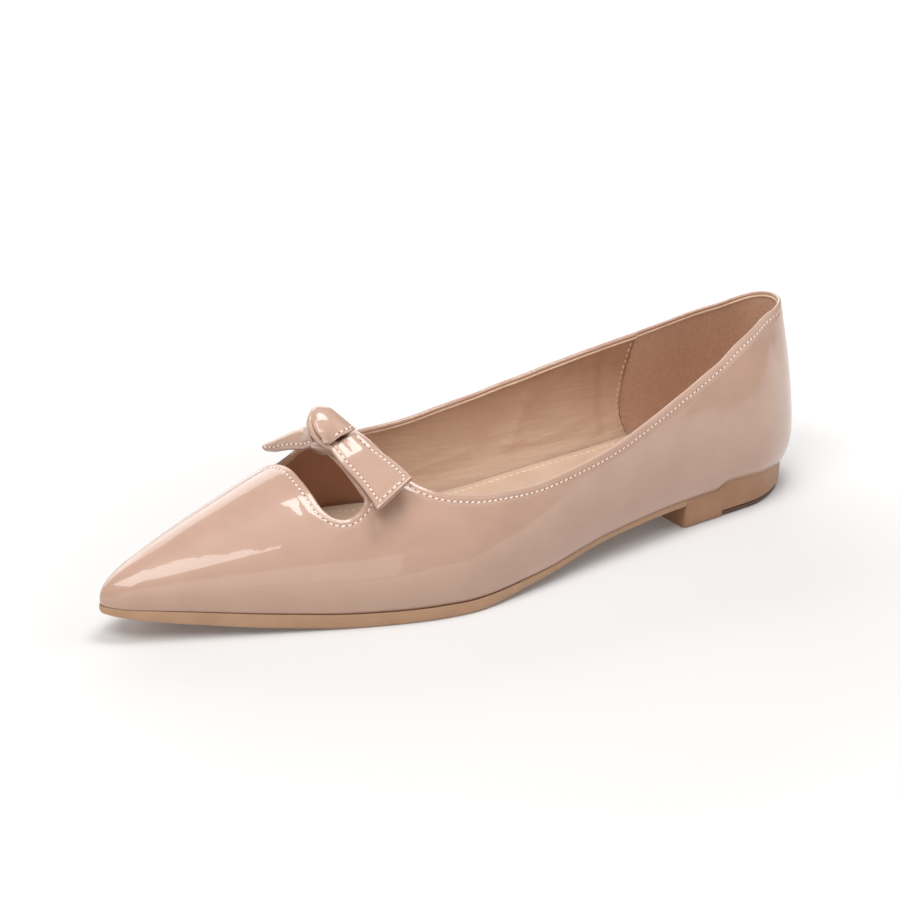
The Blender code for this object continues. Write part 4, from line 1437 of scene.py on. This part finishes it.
# ------------------------------------------------ floor, camera and light
# The floor shines by itself away from the shoe: middle, then near and far distance and strength
GLOW_MIDDLE = (-0.03, -0.05, 0.0)
GLOW_LIMITS = (0.10, 0.40, 0.07, 0.55)
floor_data = bpy.data.meshes.new("floor")
floor_mesh = bmesh.new()
bmesh.ops.create_grid(floor_mesh, x_segments=8, y_segments=8, size=3.0)
floor_mesh.to_mesh(floor_data)
floor_mesh.free()
floor = bpy.data.objects.new("floor", floor_data)
bpy.context.scene.collection.objects.link(floor)
sweep = look("floor_white", (211, 210, 209), (214, 213, 212), 3.0, (0.75, 0.85),
             **{SPECULAR: 0.1, "Emission Color": (1.0, 1.0, 1.0, 1.0)})
tree = sweep.node_tree
spot = tree.nodes["Texture Coordinate"].outputs["Object"]
away = put_node(tree, "VectorMath", {1: GLOW_MIDDLE}, {0: spot})
away.operation = "DISTANCE"
glow = map_range(tree, away.outputs["Value"], *GLOW_LIMITS)
glow.interpolation_type = "SMOOTHSTEP"
strength = tree.nodes["Principled BSDF"].inputs["Emission Strength"]
tree.links.new(glow.outputs["Result"], strength)
floor_data.materials.append(sweep)


def stand(thing, x_way, y_way, z_way, spot):
    """Put a camera or a light into the scene by its axes and its place."""
    bpy.context.scene.collection.objects.link(thing)
    thing.matrix_world = Matrix([*zip(x_way, y_way, z_way, spot), (0.0, 0.0, 0.0, 1.0)])


def bearing(turn, rise):
    """Direction at a turn from -Y towards +X and at a rise, and the level way across it."""
    level = math.cos(rise)
    away = (math.sin(turn) * level, -math.cos(turn) * level, math.sin(rise))
    return np.array(away), np.array((math.cos(turn), math.sin(turn), 0.0))


CAMERA_TURN = math.radians(-33.18)
CAMERA_RISE = math.radians(22.35)
CAMERA_ROLL = math.radians(-0.31)
CAMERA_FAR = 0.92464
CAMERA_AIM = np.array((-0.00471, 0.0, 0.03495)) - BOX_MIDDLE
SENSOR = 36.0
IMAGE_SIZE = 900.0
PIXELS_PER_METRE = 3100.0
back, right = bearing(CAMERA_TURN, CAMERA_RISE)
upward = np.cross(back, right)
turned = math.cos(CAMERA_ROLL) * right - math.sin(CAMERA_ROLL) * upward
upright = math.sin(CAMERA_ROLL) * right + math.cos(CAMERA_ROLL) * upward
camera_data = bpy.data.cameras.new("camera")
camera_data.sensor_width = SENSOR
camera_data.lens = PIXELS_PER_METRE * CAMERA_FAR * SENSOR / IMAGE_SIZE
camera_data.clip_start = 0.01
camera = bpy.data.objects.new("camera", camera_data)
stand(camera, turned, upright, back, CAMERA_AIM + CAMERA_FAR * back)
bpy.context.scene.camera = camera

LIGHT_AIM = np.array((0.0, 0.0, 0.03))


def area_light(name, wide, high, glow):
    data = bpy.data.lights.new(name, "AREA")
    data.shape = "RECTANGLE"
    data.size = wide
    data.size_y = high
    data.energy = glow * math.pi * wide * high
    return bpy.data.objects.new(name, data)


def softbox(name, turn, rise, far, wide, high, glow):
    """Area light seen from the shoe at a turn and a rise in degrees."""
    away, level = bearing(math.radians(turn), math.radians(rise))
    light = area_light(name, wide, high, glow)
    stand(light, level, np.cross(away, level), away, away * far + LIGHT_AIM)


def panel(name, middle, wide, deep, glow):
    """Area light that hangs level over the shoe."""
    stand(area_light(name, wide, deep, glow), *np.eye(3), middle)


panel("key", (-0.66, -0.40, 1.03), 0.60, 0.95, 5.6)
panel("top", (0.10, -0.07, 1.03), 0.46, 0.36, 10.5)
softbox("behind", 172.0, 22.0, 1.6, 2.2, 1.0, 1.9)
softbox("fill", 65.0, 35.0, 1.8, 1.2, 1.2, 1.0)
softbox("front", -35.0, 12.0, 1.8, 1.6, 0.7, 1.2)

world = bpy.data.worlds.new("studio")
bpy.context.scene.world = world
world.use_nodes = True
world.node_tree.nodes["Background"].inputs["Color"].default_value = (1.0, 1.0, 1.0, 1.0)
world.node_tree.nodes["Background"].inputs["Strength"].default_value = 0.27
bpy.context.scene.view_settings.view_transform = "Standard"
bpy.context.scene.view_settings.look = "None"

bpy.context.view_layer.update()
